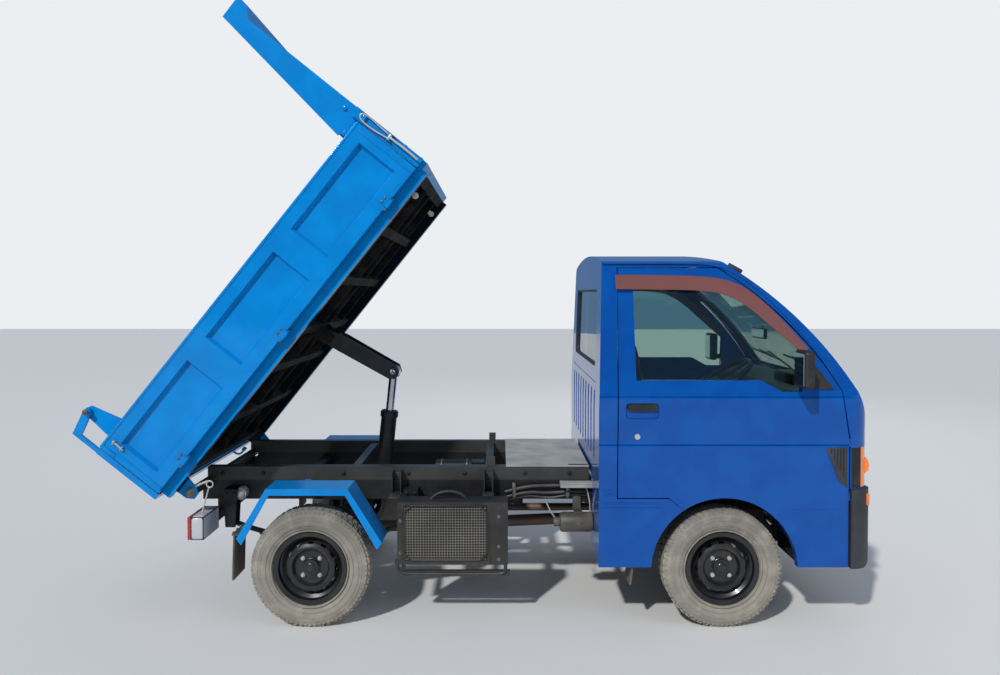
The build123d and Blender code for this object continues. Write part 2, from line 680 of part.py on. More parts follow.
def save_cab():
    "Cab panels, doors and glass, all cut from one pair of skins"
    outer = cab_form(0)
    shell = outer - cab_form(CAB_WALL)
    for line in creases():
        shell = shell - both(line)
    glass = cab_form(14) - cab_form(14 + GLASS_T)
    arch = arch_cut()
    opening = right_slab(door_outline(0))
    opening_left = mirror(opening, about=Plane.XZ)
    window = right_slab(window_outline(0))
    door = shell & right_slab(door_outline(SHUT))
    door = (door - arch - window).solids().sort_by(SortBy.VOLUME)[-1]
    pane = (glass & right_slab(window_outline(8)))
    pane_space = right_slab(window_outline(8)) & (cab_form(14 - SEAT_GAP) - cab_form(14 + GLASS_T + SEAT_GAP))
    pane = pane.solids().sort_by(SortBy.VOLUME)[-1]
    pins, room = hinge_door_half()
    door = door - pane_space - room - handle_room() + pins
    save("door_handle_right", door_handle())
    save("door_handle_left", mirror(door_handle(), about=Plane.XZ))
    save("door_right", door)
    save("door_left", mirror(door, about=Plane.XZ))
    save("door_window_right", pane)
    save("door_window_left", mirror(pane, about=Plane.XZ))
    far = 1200
    cut_bottom = box(fx(-far), fx(far), -far, far, 0, CAB_BOTTOM)
    body = shell - opening - opening_left - screen_opening(0) - rear_opening(0) - arch - cut_bottom
    roof_zone = box(fx(-far), fx(far), -far, far, ROOF_EDGE_Z - 12, 2000)
    rear_zone = box(fx(CAB_REAR - 60), fx(CAB_REAR + CAB_WALL + 30), -CAB_HALF_W + 60, CAB_HALF_W - 60,
                    0, ROOF_EDGE_Z - 12)
    front_zone = box(fx(300), fx(far), -far, far, 0, COWL_Z)
    panel_zone = box(fx(300), fx(far), -far, far, BUMPER_TOP, COWL_Z)
    save("cab_roof", body & roof_zone)
    frame_gap = box(fx(CAB_REAR - 60), fx(CAB_REAR + 200), -RAIL_Y - 60, RAIL_Y + 60, 0, DECK_Z - PANEL_T - 2)
    save("cab_rear_wall", (body & rear_zone) - frame_gap - rear_wall_press())
    save("front_panel", (body & panel_zone) - lamp_space() + both(hinge_pillar()))
    sides = body - roof_zone - rear_zone - front_zone
    save("cab_sides", [s for s in sides.solids() if s.volume > 20000])
    save("cab_glass", (glass & screen_opening(-SEAT_GAP)).solids() + (glass & rear_opening(-SEAT_GAP)).solids())
    return outer


def door_pin(z0, z1, r):
    "Upright bar on the hinge line of the right door"
    return upright(fx(DOOR_FRONT + HINGE_SHUT / 2), -CAB_HALF_W + 2, r, z0, z1)


def hinge_door_half():
    "Pins of the right door's hinges, each on a web, and the room cut round the pillar's lugs"
    x = fx(DOOR_FRONT + HINGE_SHUT / 2)
    y = -CAB_HALF_W + 2
    pins = []
    room = []
    for z in DOOR_HINGES:
        top = z + DOOR_HINGE_H
        pins.append(door_pin(z, top, DOOR_PIN_R))
        pins.append(box(fx(DOOR_FRONT - 2), x, y - 1.5, y + 1.5, z + LUG_H + 1, top - LUG_H - 1))
        room += [door_pin(z - 1, z + LUG_H, DOOR_PIN_R + 2.6), door_pin(top - LUG_H, top + 1, DOOR_PIN_R + 2.6)]
    return pins, room


def hinge_pillar():
    "Right hinge pillar inside the nose, with a leaf and two bored lugs for each hinge"
    x = fx(DOOR_FRONT + HINGE_SHUT / 2)
    y = -CAB_HALF_W + 2
    post = box(fx(DOOR_FRONT + HINGE_SHUT + 2), fx(DOOR_FRONT + 37), -CAB_HALF_W + 40, -CAB_HALF_W + 78, FLOOR_Z + 100, 1000)
    shape = post & cab_form(CAB_WALL - 2)
    for z in DOOR_HINGES:
        top = z + DOOR_HINGE_H
        shape = shape + box(x + 0.2, fx(DOOR_FRONT + HINGE_SHUT + 6), y + 38, y + 48, z, top)
        shape = shape + box(x + 0.2, fx(DOOR_FRONT + HINGE_SHUT) - 0.4, y, y + 48, z, top)
        for low in (z + 0.3, top - LUG_H + 0.3):
            shape = shape + door_pin(low, low + LUG_H - 0.6, DOOR_PIN_R + 2)
    for z in DOOR_HINGES:
        shape = shape - door_pin(z - 2, z + DOOR_HINGE_H + 2, DOOR_PIN_R + RUN_FIT)
    return shape


def lamp_space():
    "Both lamp recesses of the nose"
    z0, z1 = LAMP_Z
    recess = both(box(fx(LAMP_REAR), fx(CAB_NOSE + 60), -CAB_HALF_W - 10, -LAMP_IN, z0, z1))
    louvres = [box(fx(CAB_NOSE - 4), fx(CAB_NOSE + 60), 40 - LAMP_IN, LAMP_IN - 40, z, z + 16)
               for z in (z0 + 50, z0 + 82, z0 + 114)]
    return recess + louvres


def save_lamps(outer):
    "Headlamps and corner lamps fill the recesses, split at the nose's corner"
    z0, z1 = LAMP_Z
    gap = SEAT_GAP
    block = outer - cab_form(CAB_WALL - 4)
    head = block & box(fx(500), fx(CAB_NOSE + 60), -LAMP_SPLIT + gap, -LAMP_IN - gap, z0 + gap, z1 - gap)
    wide = CAB_HALF_W + 10
    lens = block & box(fx(LAMP_LENS + gap), fx(CAB_NOSE + 60), -wide, -LAMP_SPLIT, z0 + gap, z1 - gap)
    surround = block & box(fx(LAMP_REAR + gap), fx(LAMP_LENS), -wide, -LAMP_SPLIT, z0 + gap, z1 - gap)
    save("headlamps", both(head))
    save("corner_lamps", both(lens))
    save("lamp_surrounds", both(surround))


def bumper():
    "Wrap-round bumper below the lamps"
    z0, z1 = CAB_BOTTOM - 2, BUMPER_TOP - SEAT_GAP
    outside = extrude(Plane((0, 0, z0)) * cab_plan(0, 16), z1 - z0)
    inside = extrude(Plane((0, 0, z0 - 5)) * cab_plan(50, 16), z1 - z0 + 10)
    x0, nose = DOOR_FRONT + HINGE_SHUT, CAB_NOSE + 28
    rake = [(x0, z0), (nose - 66, z0), (nose - 30, z0 + 22), (nose - 14, z0 + 110), (nose + 2, PLATE_Z + 40),
            (nose + 4, PLATE_Z + 64), (nose - 26, z1 - 8), (nose - 34, z1), (x0, z1)]
    wide = CAB_HALF_W + 110
    front = side_plate([(fx(x), z) for x, z in rake], -wide, wide)
    intake = box(fx(CAB_NOSE - 100), fx(CAB_NOSE + 100), -330, 330, 372, 440)
    plate_holes = [Pos(fx(CAB_NOSE), y, PLATE_Z) * Rot(0, 90, 0) * Cylinder(PLATE_HOLE_R, 200)
                   for y in (-PLATE_PITCH / 2, PLATE_PITCH / 2)]
    low_hinge = DOOR_HINGES[0]
    hinge_room = both(door_pin(low_hinge - 1, low_hinge + DOOR_HINGE_H + 1, DOOR_PIN_R + 2.6))
    return (outside - inside & front) - intake - plate_holes - hinge_room


def cab_floor():
    "Pressed floor: seat deck behind, foot well in front of the wheels"
    t = PANEL_T
    x_rear = CAB_REAR + CAB_WALL + SEAT_GAP
    well = 366
    toe = CAB_NOSE - 24 - CAB_WALL
    path = [(x_rear, DECK_Z), (well, DECK_Z), (well, FLOOR_Z), (toe - 60, FLOOR_Z), (toe, FLOOR_Z + 90)]
    low = [(toe, FLOOR_Z + 90 - t - 8), (toe - 50, FLOOR_Z - t), (well - t, FLOOR_Z - t), (well - t, DECK_Z - t),
           (x_rear, DECK_Z - t)]
    y = CAB_HALF_W - CAB_WALL - DOOR_CLEAR
    slab = side_plate([(fx(a), b) for a, b in path + low], -y, y)
    inside = extrude(Plane((0, 0, 200)) * cab_plan(CAB_WALL + DOOR_CLEAR), 1000)
    return slab & inside


def dashboard():
    x0 = 330
    outline = [(x0 + 30, DASH_Z), (x0, 1010), (x0 + 18, 1085), (x0 + 90, 1120), (470, 1128), (538, 1040),
               (600, DASH_Z)]
    wide = CAB_HALF_W - 78 - SEAT_GAP
    slab = side_plate([(fx(a), b) for a, b in outline], -wide, wide)
    return slab & cab_form(CAB_WALL + SEAT_GAP)


def steering_wheel():
    "Rim, three spokes, boss and column of the right-hand seat"
    rim = Torus(182, 13)
    boss = Cylinder(38, 36)
    spokes = [Rot(0, 0, a) * Pos(92, 0, 0) * Box(184, 26, 12) for a in (0, 180, 270)]
    column = Pos(0, 0, -235) * Cylinder(24, 470)
    shape = Pos(fx(52), -360, 1106) * Rot(0, -WHEEL_TILT, 0) * (rim + boss + spokes + column)
    foot = box(fx(286), fx(345), -388, -332, DECK_Z + SEAT_GAP, 735)
    return shape + foot


def seats():
    "Two cushions and two backs"
    out = []
    for y in (-355, 355):
        out.append(fillet(box(fx(-370), fx(120), y - 225, y + 225, DECK_Z + SEAT_GAP, 800).edges(), 28))
        back = side_plate([(fx(-400), 800 + SEAT_GAP), (fx(-270), 800 + SEAT_GAP), (fx(-400), 1300), (fx(-490), 1300)], y - 215, y + 215)
        out.append(fillet(back.edges(), 24))
        out.append(fillet(box(fx(-494), fx(-414), y - 120, y + 120, 1300 + SEAT_GAP, 1442).edges(), 24))
    return out


def wheel_house():
    "Right front wheel's house under the floor: wall beside the frame, wall behind and wall ahead"
    y0, y1 = -CAB_HALF_W + CAB_WALL + DOOR_CLEAR, -RAIL_Y - RAIL_W / 2 - 7
    top = DECK_Z - PANEL_T - SEAT_GAP
    inner = box(fx(-358), fx(343), y1 - 3, y1, 470, top) - box(fx(-64), fx(64), y1 - 9, y1 + 9, 616, top + 9)
    behind = box(fx(-359), fx(-356), y0, y1, CAB_BOTTOM + 10, top)
    ahead = box(fx(352), fx(355), y0, y1, CAB_BOTTOM, RAIL_FRONT_Z)
    ahead = ahead + box(fx(330), fx(353), y1 - 3, y1, RAIL_FRONT_Z - 60, RAIL_FRONT_Z)
    corner = box(fx(330), fx(343), y1 - 3, y1, RAIL_FRONT_Z - 60, 480)
    return inner + behind + ahead + corner


def engine():
    return box(fx(ENGINE_REAR), fx(170), -235, 235, 262, DECK_Z - PANEL_T - 20)


def propshaft():
    a = (rx(146), AXLE_Z)
    b = (fx(ENGINE_REAR), PIPE_Z)
    length = hypot(b[0] - a[0], b[1] - a[1])
    angle = degrees(atan2(b[1] - a[1], b[0] - a[0]))
    return Pos(a[0], 0, a[1]) * Rot(0, -angle, 0) * x_rod(30, SEAT_GAP, length - SEAT_GAP - 6)


def fuel_tank():
    y = RAIL_Y + RAIL_W / 2 + SEAT_GAP
    tank = box(rx(490), rx(1010), y, 625, 285, RAIL_Z - 30)
    return fillet(tank.edges().filter_by(Axis.X), 34)


def exhaust():
    silencer = Pos(0, PIPE_Y, PIPE_Z) * x_rod(75, rx(350), rx(770))
    pipe = Pos(0, PIPE_Y, PIPE_Z) * x_rod(21, rx(760), fx(ENGINE_REAR))
    hanger = box(rx(750), rx(780), PIPE_Y - 10, PIPE_Y + 10, PIPE_Z + 15, 530 - SEAT_GAP)
    return silencer + pipe + hanger


def condenser():
    "Mesh-fronted box on the right rail"
    x0, x1, z0, z1 = rx(396), rx(912), 275, 568
    y_out, y_in = -612, -500
    case = box(x0, x1, y_out, y_in, z0, z1)
    recess = box(x0 + 30, x0 + 420, y_out - 1, y_out + 12, z0 + 20, z1 - 16)
    arms = [box(x, x + 30, y_in - 2, -RAIL_Y - RAIL_W / 2 - SEAT_GAP, z1 - 48, z1 - 18) for x in (x0 + 130, x1 - 90)]
    guard = box(x0 + 20, x1 + 10, y_out + 4, y_out + 26, z0 - 52, z0 - 30)
    legs = [box(x, x + 16, y_out + 8, y_out + 22, z0 - 40, z0 + 2) for x in (x0 + 20, x1 - 20)]
    return case - recess + arms + guard + legs


def fender():
    "Right rear mudguard"
    top = [(-330, 420), (-195, FENDER_TOP), (180, FENDER_TOP), (336, 400)]
    low = [(x * 0.985, z - FENDER_T) for x, z in reversed(top)]
    low[1] = (177, FENDER_TOP - FENDER_T)
    low[2] = (-192, FENDER_TOP - FENDER_T)
    arch = side_plate([(rx(a), b) for a, b in top + low], -FENDER_OUT, -515)
    lip_low = [(x * 0.93, z - 30) for x, z in reversed(top)]
    lip = side_plate([(rx(a), b) for a, b in top + lip_low], -FENDER_OUT, -FENDER_OUT + 6)
    stay = box(rx(-90), rx(-60), -520, -RAIL_Y - RAIL_W / 2 - SEAT_GAP, FENDER_TOP - 40, FENDER_TOP - 30)
    riser = box(rx(-90), rx(-60), -526, -515, FENDER_TOP - 40, FENDER_TOP - 3)
    return arch + lip + stay + riser


def mud_flaps():
    rear = side_plate([(rx(-352), 226), (rx(-345), 440), (rx(-337), 440), (rx(-344), 226)], 8 - FENDER_OUT, -520)
    hook = box(rx(-352), rx(-323.2), 8 - FENDER_OUT, -520, 432, 440)
    top = CAB_BOTTOM - SEAT_GAP
    front = side_plate([(fx(-432), 205), (fx(-422), top), (fx(-414), top), (fx(-424), 205)], -676, -540)
    front_tab = box(fx(-430), fx(-410), -CAB_HALF_W + CAB_WALL + SEAT_GAP, -540, 278, 420)
    return both(rear + hook) + both(front + front_tab)


def tail_lamps():
    "Lenses of the two tail lamps"
    y0, y1 = TAIL_LAMP_Y
    lens = box(rx(TAIL_LAMP_X - 16), rx(TAIL_LAMP_X - SEAT_GAP), -y1, -y0, 400, 505)
    return both(fillet(lens.edges().group_by(Axis.X)[0], 6))


def tail_lamp_bar():
    "Housings of the tail lamps and the bar that hangs them from the frame"
    y0, y1 = TAIL_LAMP_Y
    pods = both(box(rx(TAIL_LAMP_X), rx(TAIL_LAMP_X + 60), -y1, -y0, 400, 505))
    bar = box(rx(TAIL_LAMP_X + 26), rx(TAIL_LAMP_X + 56), -y0 - 5, y0 + 5, 430, 470)
    for y in (-RAIL_Y, RAIL_Y):
        bar = bar + box(rx(TAIL_LAMP_X + 28), rx(TAIL_LAMP_X + 54), y - 20, y + 20, 465, RAIL_Z - RAIL_H)
    return pods[0] + pods[1] + bar


def mirror_right():
    "Door mirror on its arm"
    w = CAB_HALF_W
    head = fillet(box(fx(302), fx(350), -w - 152, -w - 18, 1120, 1288).edges(), 16)
    arm = box(fx(330), fx(372), -w - 32, -w + 6, 1132, 1160)
    triangle = make_face(Polyline((362, 1106), (362, 1262), (426, 1196), (494, 1106), close=True))
    sail = (cab_form(-8) - cab_form(-SEAT_GAP)) & right_slab(triangle)
    return head + arm + sail


# Bed, built lowered and then tipped
def bed_floor():
    edge = BED_HALF_W - GATE_T - 8
    plate = box(rx(BED_REAR), rx(BED_FRONT - 36), -edge, edge, FLOOR_TOP - FLOOR_T, FLOOR_TOP)
    sill = box(rx(BED_REAR), rx(BED_FRONT - 36), -edge, -edge + SILL_W, SILL_BOTTOM, FLOOR_TOP - 1)
    shape = plate + both(sill) + both(pivot_ear())
    for x in HINGES:
        shape = shape + both(gate_lugs(x))
    return shape + both(rear_pillar())


def bed_cross_members():
    "Members under the floor with the ears and the pin of the lift arm, in one welded piece"
    edge = BED_HALF_W - GATE_T - 8 - SILL_W - SEAT_GAP
    low, high = FLOOR_TOP - FLOOR_T - CROSS_H, FLOOR_TOP - FLOOR_T
    x0, x1 = BED_REAR + 68, BED_FRONT - 86
    frame = box(rx(x0), rx(x0 + CROSS_W), SEAT_GAP - EAR_IN, EAR_IN - SEAT_GAP, low, high)
    for x in (x0 + CROSS_PITCH, x0 + 2 * CROSS_PITCH, x1 - 3 * CROSS_PITCH, x1 - 2 * CROSS_PITCH, x1 - CROSS_PITCH, x1):
        frame = frame + box(rx(x), rx(x + CROSS_W), -edge, edge, low, high)
    for y in (ARM_IN + ARM_T + 17, RAIL_Y + 80):
        frame = frame + both(box(rx(x0), rx(x1 + CROSS_W), -y - 12, -y, low + 4, high))
    for y in (-ARM_IN - ARM_T - 5 - 12, ARM_IN + ARM_T + 5):
        frame = frame + arm_ear(y)
    pin_end = ARM_IN + ARM_T + 17
    return frame + cross_rod(rx(ARM_PIN[0]), ARM_PIN[1], ARM_PIN_R, -pin_end, pin_end)


def pivot_ear():
    "Right ear of the bed on the pivot pin"
    ear = side_plate([
        (rx(PIVOT_X - 40), FLOOR_TOP - 10), (rx(PIVOT_X - 34), PIVOT_Z), (rx(PIVOT_X - 14), PIVOT_Z - 32),
        (rx(PIVOT_X + 14), PIVOT_Z - 32), (rx(PIVOT_X + 34), PIVOT_Z), (rx(PIVOT_X + 60), FLOOR_TOP - 10)],
        -EAR_IN - EAR_T, -EAR_IN)
    return ear - cross_rod(rx(PIVOT_X), PIVOT_Z, PIVOT_PIN_R + RUN_FIT, -EAR_IN - 40, -EAR_IN + 20)


def arm_ear(y):
    "Ear under the floor that holds the lift arm's pin"
    x, z = ARM_PIN
    top = FLOOR_TOP - FLOOR_T
    return side_plate([(rx(x - 50), top), (rx(x - 26), z - 26), (rx(x + 26), z - 26), (rx(x + 50), top)], y, y + 12)


def gate_lugs(x):
    "Two lugs and the pin of one side-gate hinge"
    lugs = [box(rx(a), rx(a + 5), -HINGE_Y - 5.2, -BED_HALF_W + GATE_T + 6, HINGE_Z - 5.2, HINGE_Z + 5.5)
            for a in (x - 30, x + 25)]
    root = box(rx(x - 30), rx(x + 30), -BED_HALF_W + GATE_T + 2, -BED_HALF_W + GATE_T + 10, HINGE_Z - 8, HINGE_Z + 6)
    pin = Pos(rx(x), -HINGE_Y, HINGE_Z) * Rot(0, 90, 0) * Cylinder(HINGE_PIN_R, 58)
    return lugs[0] + lugs[1] + root + pin


def rear_pillar():
    "Right rear pillar that carries the tailgate's pin"
    x, z = TAIL_PIN
    plate = side_plate([
        (rx(BED_REAR), FLOOR_TOP - 2), (rx(BED_REAR), 1000), (rx(-577), 1055), (rx(x - 22), z + 12),
        (rx(x), z + 22), (rx(x + 24), z + 10), (rx(-477), 1055), (rx(-520), 1000), (rx(-560), 860), (rx(-560), FLOOR_TOP - 2)],
        -PILLAR_IN - PILLAR_T, -PILLAR_IN)
    pin = cross_rod(rx(x), z, TAIL_PIN_R, -PILLAR_IN - PILLAR_T - 26, -PILLAR_IN)
    return plate + pin


def tailgate():
    y = PILLAR_IN + PILLAR_T + 22
    x0, x1 = rx(TAIL_X), rx(TAIL_X + TAIL_T)
    panel = box(x0, x1, -y, y, GATE_BOTTOM - 4, GATE_TOP)
    for y0, y1 in [(-y + 60, -230), (-170, 170), (230, y - 60)]:
        panel = panel - box(x0 - 1, x0 + 14, y0, y1, GATE_BOTTOM + 50, GATE_TOP - 60)
    px, pz = TAIL_PIN
    arm = side_plate([
        (x0 + 2, GATE_TOP - 60), (x0 + 2, pz - 8), (rx(px), pz + 20), (rx(px + 18), pz), (rx(px), pz - 18),
        (x0 + 22, pz - 44), (x0 + 22, GATE_TOP - 60)], -PILLAR_IN - PILLAR_T - 20, -PILLAR_IN - PILLAR_T - 6)
    arm = arm - cross_rod(rx(px), pz, TAIL_PIN_R + RUN_FIT, -PILLAR_IN - 60, -PILLAR_IN)
    return panel + both(arm)


def side_gate():
    "Right side gate with three recessed panels between raised posts"
    x0, x1 = BED_REAR + 4, BED_FRONT - POST_W - 5
    y0, y1 = -BED_HALF_W, -BED_HALF_W + GATE_T
    gate = box(rx(x0), rx(x1), y0, y1, GATE_BOTTOM, GATE_TOP)
    for a, b in GATE_PANELS:
        low, high = GATE_BOTTOM + 64, GATE_TOP - 67
        mid = (rx(x1 - (a + b) / 2 * (x1 - x0)), y0, (low + high) / 2)
        face = Plane(mid, x_dir=(1, 0, 0), z_dir=(0, 1, 0)) * Rectangle((b - a) * (x1 - x0), high - low)
        gate = gate - extrude(face, 22, taper=28)
    for x in HINGES:
        strap = box(rx(x - 18), rx(x + 18), y0 - 4, y0 + 1, HINGE_Z, GATE_BOTTOM + 34)
        knuckle_ring = Pos(rx(x), -HINGE_Y, HINGE_Z) * Rot(0, 90, 0) * Cylinder(9, 40)
        hole = Pos(rx(x), -HINGE_Y, HINGE_Z) * Rot(0, 90, 0) * Cylinder(HINGE_PIN_R + RUN_FIT, 60)
        gate = gate + strap + knuckle_ring - hole
    return gate


def headboard():
    "Front wall, corner posts and the guard that stands behind the cab"
    edge = BED_HALF_W - GATE_T - 8
    low = FLOOR_TOP - FLOOR_T - CROSS_H
    wall = box(rx(BED_FRONT - 30), rx(BED_FRONT), -edge, edge, low, GATE_TOP + 30)
    base = box(rx(BED_FRONT - 36 + SEAT_GAP), rx(BED_FRONT - 20), -edge, edge, low, FLOOR_TOP)
    post = box(rx(BED_FRONT - POST_W), rx(BED_FRONT), -BED_HALF_W, -edge, GATE_BOTTOM, GATE_TOP + 40)
    face = [(0, 1500), (2, 1735), (50, 1782), (56, 1835)]
    back = [(50, 1835), (44, 1786), (-5, 1738), (-7, 1500), (-7, GATE_TOP)]
    cheek = [(-156, GATE_TOP + 43), (-61, 1833)] + face[::-1] + [(0, GATE_TOP - 20), (-76, GATE_TOP - 20)]
    cheek = side_plate([(rx(BED_FRONT + a), b) for a, b in cheek], -GUARD_Y, 12 - GUARD_Y)
    sheet = side_plate([(rx(BED_FRONT + a), b) for a, b in [(0, GATE_TOP)] + face + back], 5 - GUARD_Y, GUARD_Y - 5)
    return wall + base + both(post) + both(cheek) + sheet


save_wheels()
save("knuckle_right", knuckle())
save("knuckle_left", mirror(knuckle(), about=Plane.XZ))
save("rear_axle", rear_axle())
save("leaf_springs", both(leaf_spring()))
save("frame_rails", frame_rails())
save("frame_cross_members", cross_members())
save("front_suspension", front_suspension())
save("dump_subframe", subframe())
save("deck_plate", deck_plate())
save("hoist_cylinder", hoist_cylinder())
save("hoist_rod", hoist_rod())
save("lift_arm", lift_arm())
save("hydraulic_pump", pump())
cab_outer = save_cab()
save_lamps(cab_outer)
save("front_bumper", bumper())
save("cab_floor", cab_floor())
save("dashboard", dashboard())
save("steering_wheel", steering_wheel())
save("seats", seats())
save("engine_block", engine())
save("propshaft", propshaft())
save("fuel_tank", fuel_tank())
save("exhaust", exhaust())
save("condenser_box", condenser())
save("rear_fenders", both(fender()))
save("mud_flaps", mud_flaps())
save("tail_lamps", tail_lamps())
save("tail_lamp_bar", tail_lamp_bar())
save("wheel_houses", both(wheel_house()))
save("door_mirror_right", mirror_right())
save("door_mirror_left", mirror(mirror_right(), about=Plane.XZ))
save("bed_floor", tip(bed_floor()))
save("bed_cross_members", tip(bed_cross_members()))
save("headboard", tip(headboard()))
save("side_gate_right", tip(side_gate()))
save("side_gate_left", tip(mirror(side_gate(), about=Plane.XZ)))
save("tailgate", tip(tailgate()))
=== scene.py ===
# %% [markdown]
# # A small dump truck with its bed raised
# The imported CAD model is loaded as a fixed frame: every node already sits where it belongs, in metres.
# What follows gives each surface its finish and adds the small pieces that a CAD model leaves out, such as
# tread blocks, wipers, hoses and bolt heads.

# %% Load the frame
import bpy
import json
from math import pi, radians
from mathutils import Matrix, Vector
from mathutils.bvhtree import BVHTree

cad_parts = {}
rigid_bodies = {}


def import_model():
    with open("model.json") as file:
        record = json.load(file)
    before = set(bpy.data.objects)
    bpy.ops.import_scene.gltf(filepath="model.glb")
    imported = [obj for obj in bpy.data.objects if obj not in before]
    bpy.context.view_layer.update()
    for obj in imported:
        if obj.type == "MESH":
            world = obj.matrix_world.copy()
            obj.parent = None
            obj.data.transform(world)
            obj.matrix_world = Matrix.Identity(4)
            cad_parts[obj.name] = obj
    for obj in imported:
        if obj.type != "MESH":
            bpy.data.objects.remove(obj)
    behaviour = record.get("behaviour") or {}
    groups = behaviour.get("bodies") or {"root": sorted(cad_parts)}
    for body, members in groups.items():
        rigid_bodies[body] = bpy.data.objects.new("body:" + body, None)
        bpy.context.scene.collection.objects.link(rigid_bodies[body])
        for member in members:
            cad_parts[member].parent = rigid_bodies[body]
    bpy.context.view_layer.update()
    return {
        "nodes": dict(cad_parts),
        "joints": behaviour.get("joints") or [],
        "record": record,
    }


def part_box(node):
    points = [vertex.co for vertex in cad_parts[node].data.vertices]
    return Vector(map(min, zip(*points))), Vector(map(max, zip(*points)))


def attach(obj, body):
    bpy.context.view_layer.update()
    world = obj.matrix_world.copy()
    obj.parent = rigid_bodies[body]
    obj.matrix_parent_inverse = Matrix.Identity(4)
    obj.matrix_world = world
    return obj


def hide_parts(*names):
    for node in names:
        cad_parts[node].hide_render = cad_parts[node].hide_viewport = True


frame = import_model()
nodes = frame["nodes"]
joints = {j["name"]: j for j in frame["joints"]}


# %% [markdown]
# ## Places that everything hangs on
# The axles, the bed's pivot and its tilt are read from the frame, so the pieces follow the CAD.
# The bed is easier to dress as it lies flat: a piece is built there and then turned up about the pivot.

# %% Driving places
def middle(node):
    "Middle of a node's box"
    low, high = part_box(node)
    return (Vector(low) + Vector(high)) / 2


REAR = middle("wheel_rear_right").x
FRONT = middle("wheel_front_right").x
AXLE_Z = middle("wheel_rear_right").z
WHEEL_Y = -middle("wheel_rear_right").y
SIDE = 0.69  # half width of the cab's flanks and of the bed
PIVOT = Vector(joints["bed_tip"]["pos_m"])
TILT = radians(joints["bed_tip"]["range_deg"][1])
RAISE = Matrix.Translation(PIVOT) @ Matrix.Rotation(-TILT, 4, "Y") @ Matrix.Translation(-PIVOT)
LOWER = RAISE.inverted()
print("rear axle", round(REAR, 3), "front axle", round(FRONT, 3), "bed tilt", round(TILT, 3))


# %% [markdown]
# ## Camera
# The photograph looks square at the right side from eye height. The lens, the height and the distance come
# from the wheels' size and spacing in the picture, and the small shift lifts the horizon to its place.

# %% Camera
LENS_MM = 28.44
EYE = (REAR + 0.875, -4.27, 1.54)
LOOK_DOWN = 1.2
HORIZON_SHIFT = -0.0275


def show(ob):
    "Link a new object into the scene"
    bpy.context.scene.collection.objects.link(ob)
    return ob


def add_camera():
    data = bpy.data.cameras.new("camera")
    data.sensor_width = 36
    data.lens = LENS_MM
    data.shift_y = HORIZON_SHIFT
    camera = show(bpy.data.objects.new("camera", data))
    camera.location = EYE
    camera.rotation_euler = (radians(90 - LOOK_DOWN), 0, 0)
    bpy.context.scene.camera = camera


add_camera()
print("camera at", tuple(round(v, 3) for v in EYE))


# %% [markdown]
# ## Shader nodes
# The world and every finish are built from nodes. Two helpers make a node and fill its inputs.

# %% Node helpers
def feed(tree, node, inputs):
    "Give inputs, by name or number, a value or the socket that feeds them"
    for key, value in inputs.items():
        if isinstance(value, bpy.types.NodeSocket):
            tree.links.new(value, node.inputs[key])
        else:
            node.inputs[key].default_value = value


def add_node(tree, kind, inputs, **settings):
    "New shader node with its settings and inputs"
    node = tree.nodes.new("ShaderNode" + kind)
    for key, value in settings.items():
        setattr(node, key, value)
    feed(tree, node, inputs)
    return node


def split_xyz(tree, vector):
    "Parts of a vector as sockets"
    return add_node(tree, "SeparateXYZ", {0: vector}).outputs


def object_place(tree, output="Object"):
    return tree.nodes.new("ShaderNodeTexCoord").outputs[output]


print("node helpers ready")


# %% [markdown]
# ## Light and floor
# A sun stands high behind the camera's left, two broad soft lamps lift the front and the far side, and a pale
# world lights the rest. What the paint mirrors is a deeper blue than what the camera sees. The floor is plain.

# %% Lamps, world and floor
def add_lamp(name, kind, energy, turn, **settings):
    data = bpy.data.lights.new(name, kind)
    data.energy = energy
    for key, value in settings.items():
        setattr(data, key, value)
    lamp = show(bpy.data.objects.new(name, data))
    lamp.rotation_euler = turn.to_euler()
    return lamp


def area_lamp(name, place, aim, size, power):
    "Broad lamp that paint and glass don't mirror"
    turn = (Vector(aim) - Vector(place)).to_track_quat("-Z", "Y")
    lamp = add_lamp(name, "AREA", power, turn, shape="DISK", size=size)
    lamp.location = place
    lamp.visible_glossy = False


add_lamp("sun", "SUN", 2.9, Vector((-3.5, -6.5, 6.0)).to_track_quat("Z", "Y"), angle=radians(2.5))
area_lamp("fill", (5.5, -4.0, 3.5), (0.3, 0, 0.8), 3.5, 60)
area_lamp("back", (2.5, 6.5, 5.0), (0, 0, 1.0), 5.0, 70)


def add_world():
    "Sky that lights the scene, a pale one for the camera and a blue one for reflections"
    world = bpy.data.worlds.new("pale sky")
    world.use_nodes = True
    tree = world.node_tree
    height = split_xyz(tree, object_place(tree, "Generated"))["Z"]
    sky = add_node(tree, "ValToRGB", {0: height})
    low, high = sky.color_ramp.elements
    low.color = (0.74, 0.78, 0.83, 1)
    high.color = (0.48, 0.60, 0.80, 1)
    high.position = 0.8
    lit = tree.nodes["Background"]
    feed(tree, lit, {"Color": sky.outputs[0], "Strength": 0.55})
    seen = add_node(tree, "Background", {"Color": (0.84, 0.86, 0.88, 1)})
    mirrored = add_node(tree, "Background", {"Color": (0.24, 0.42, 0.68, 1), "Strength": 0.55})
    rays = tree.nodes.new("ShaderNodeLightPath").outputs
    mix = add_node(tree, "MixShader", {0: rays["Is Camera Ray"], 1: lit.outputs[0], 2: seen.outputs[0]})
    both = add_node(tree, "MixShader", {0: rays["Is Glossy Ray"], 1: mix.outputs[0], 2: mirrored.outputs[0]})
    feed(tree, tree.nodes["World Output"], {"Surface": both.outputs[0]})
    bpy.context.scene.world = world


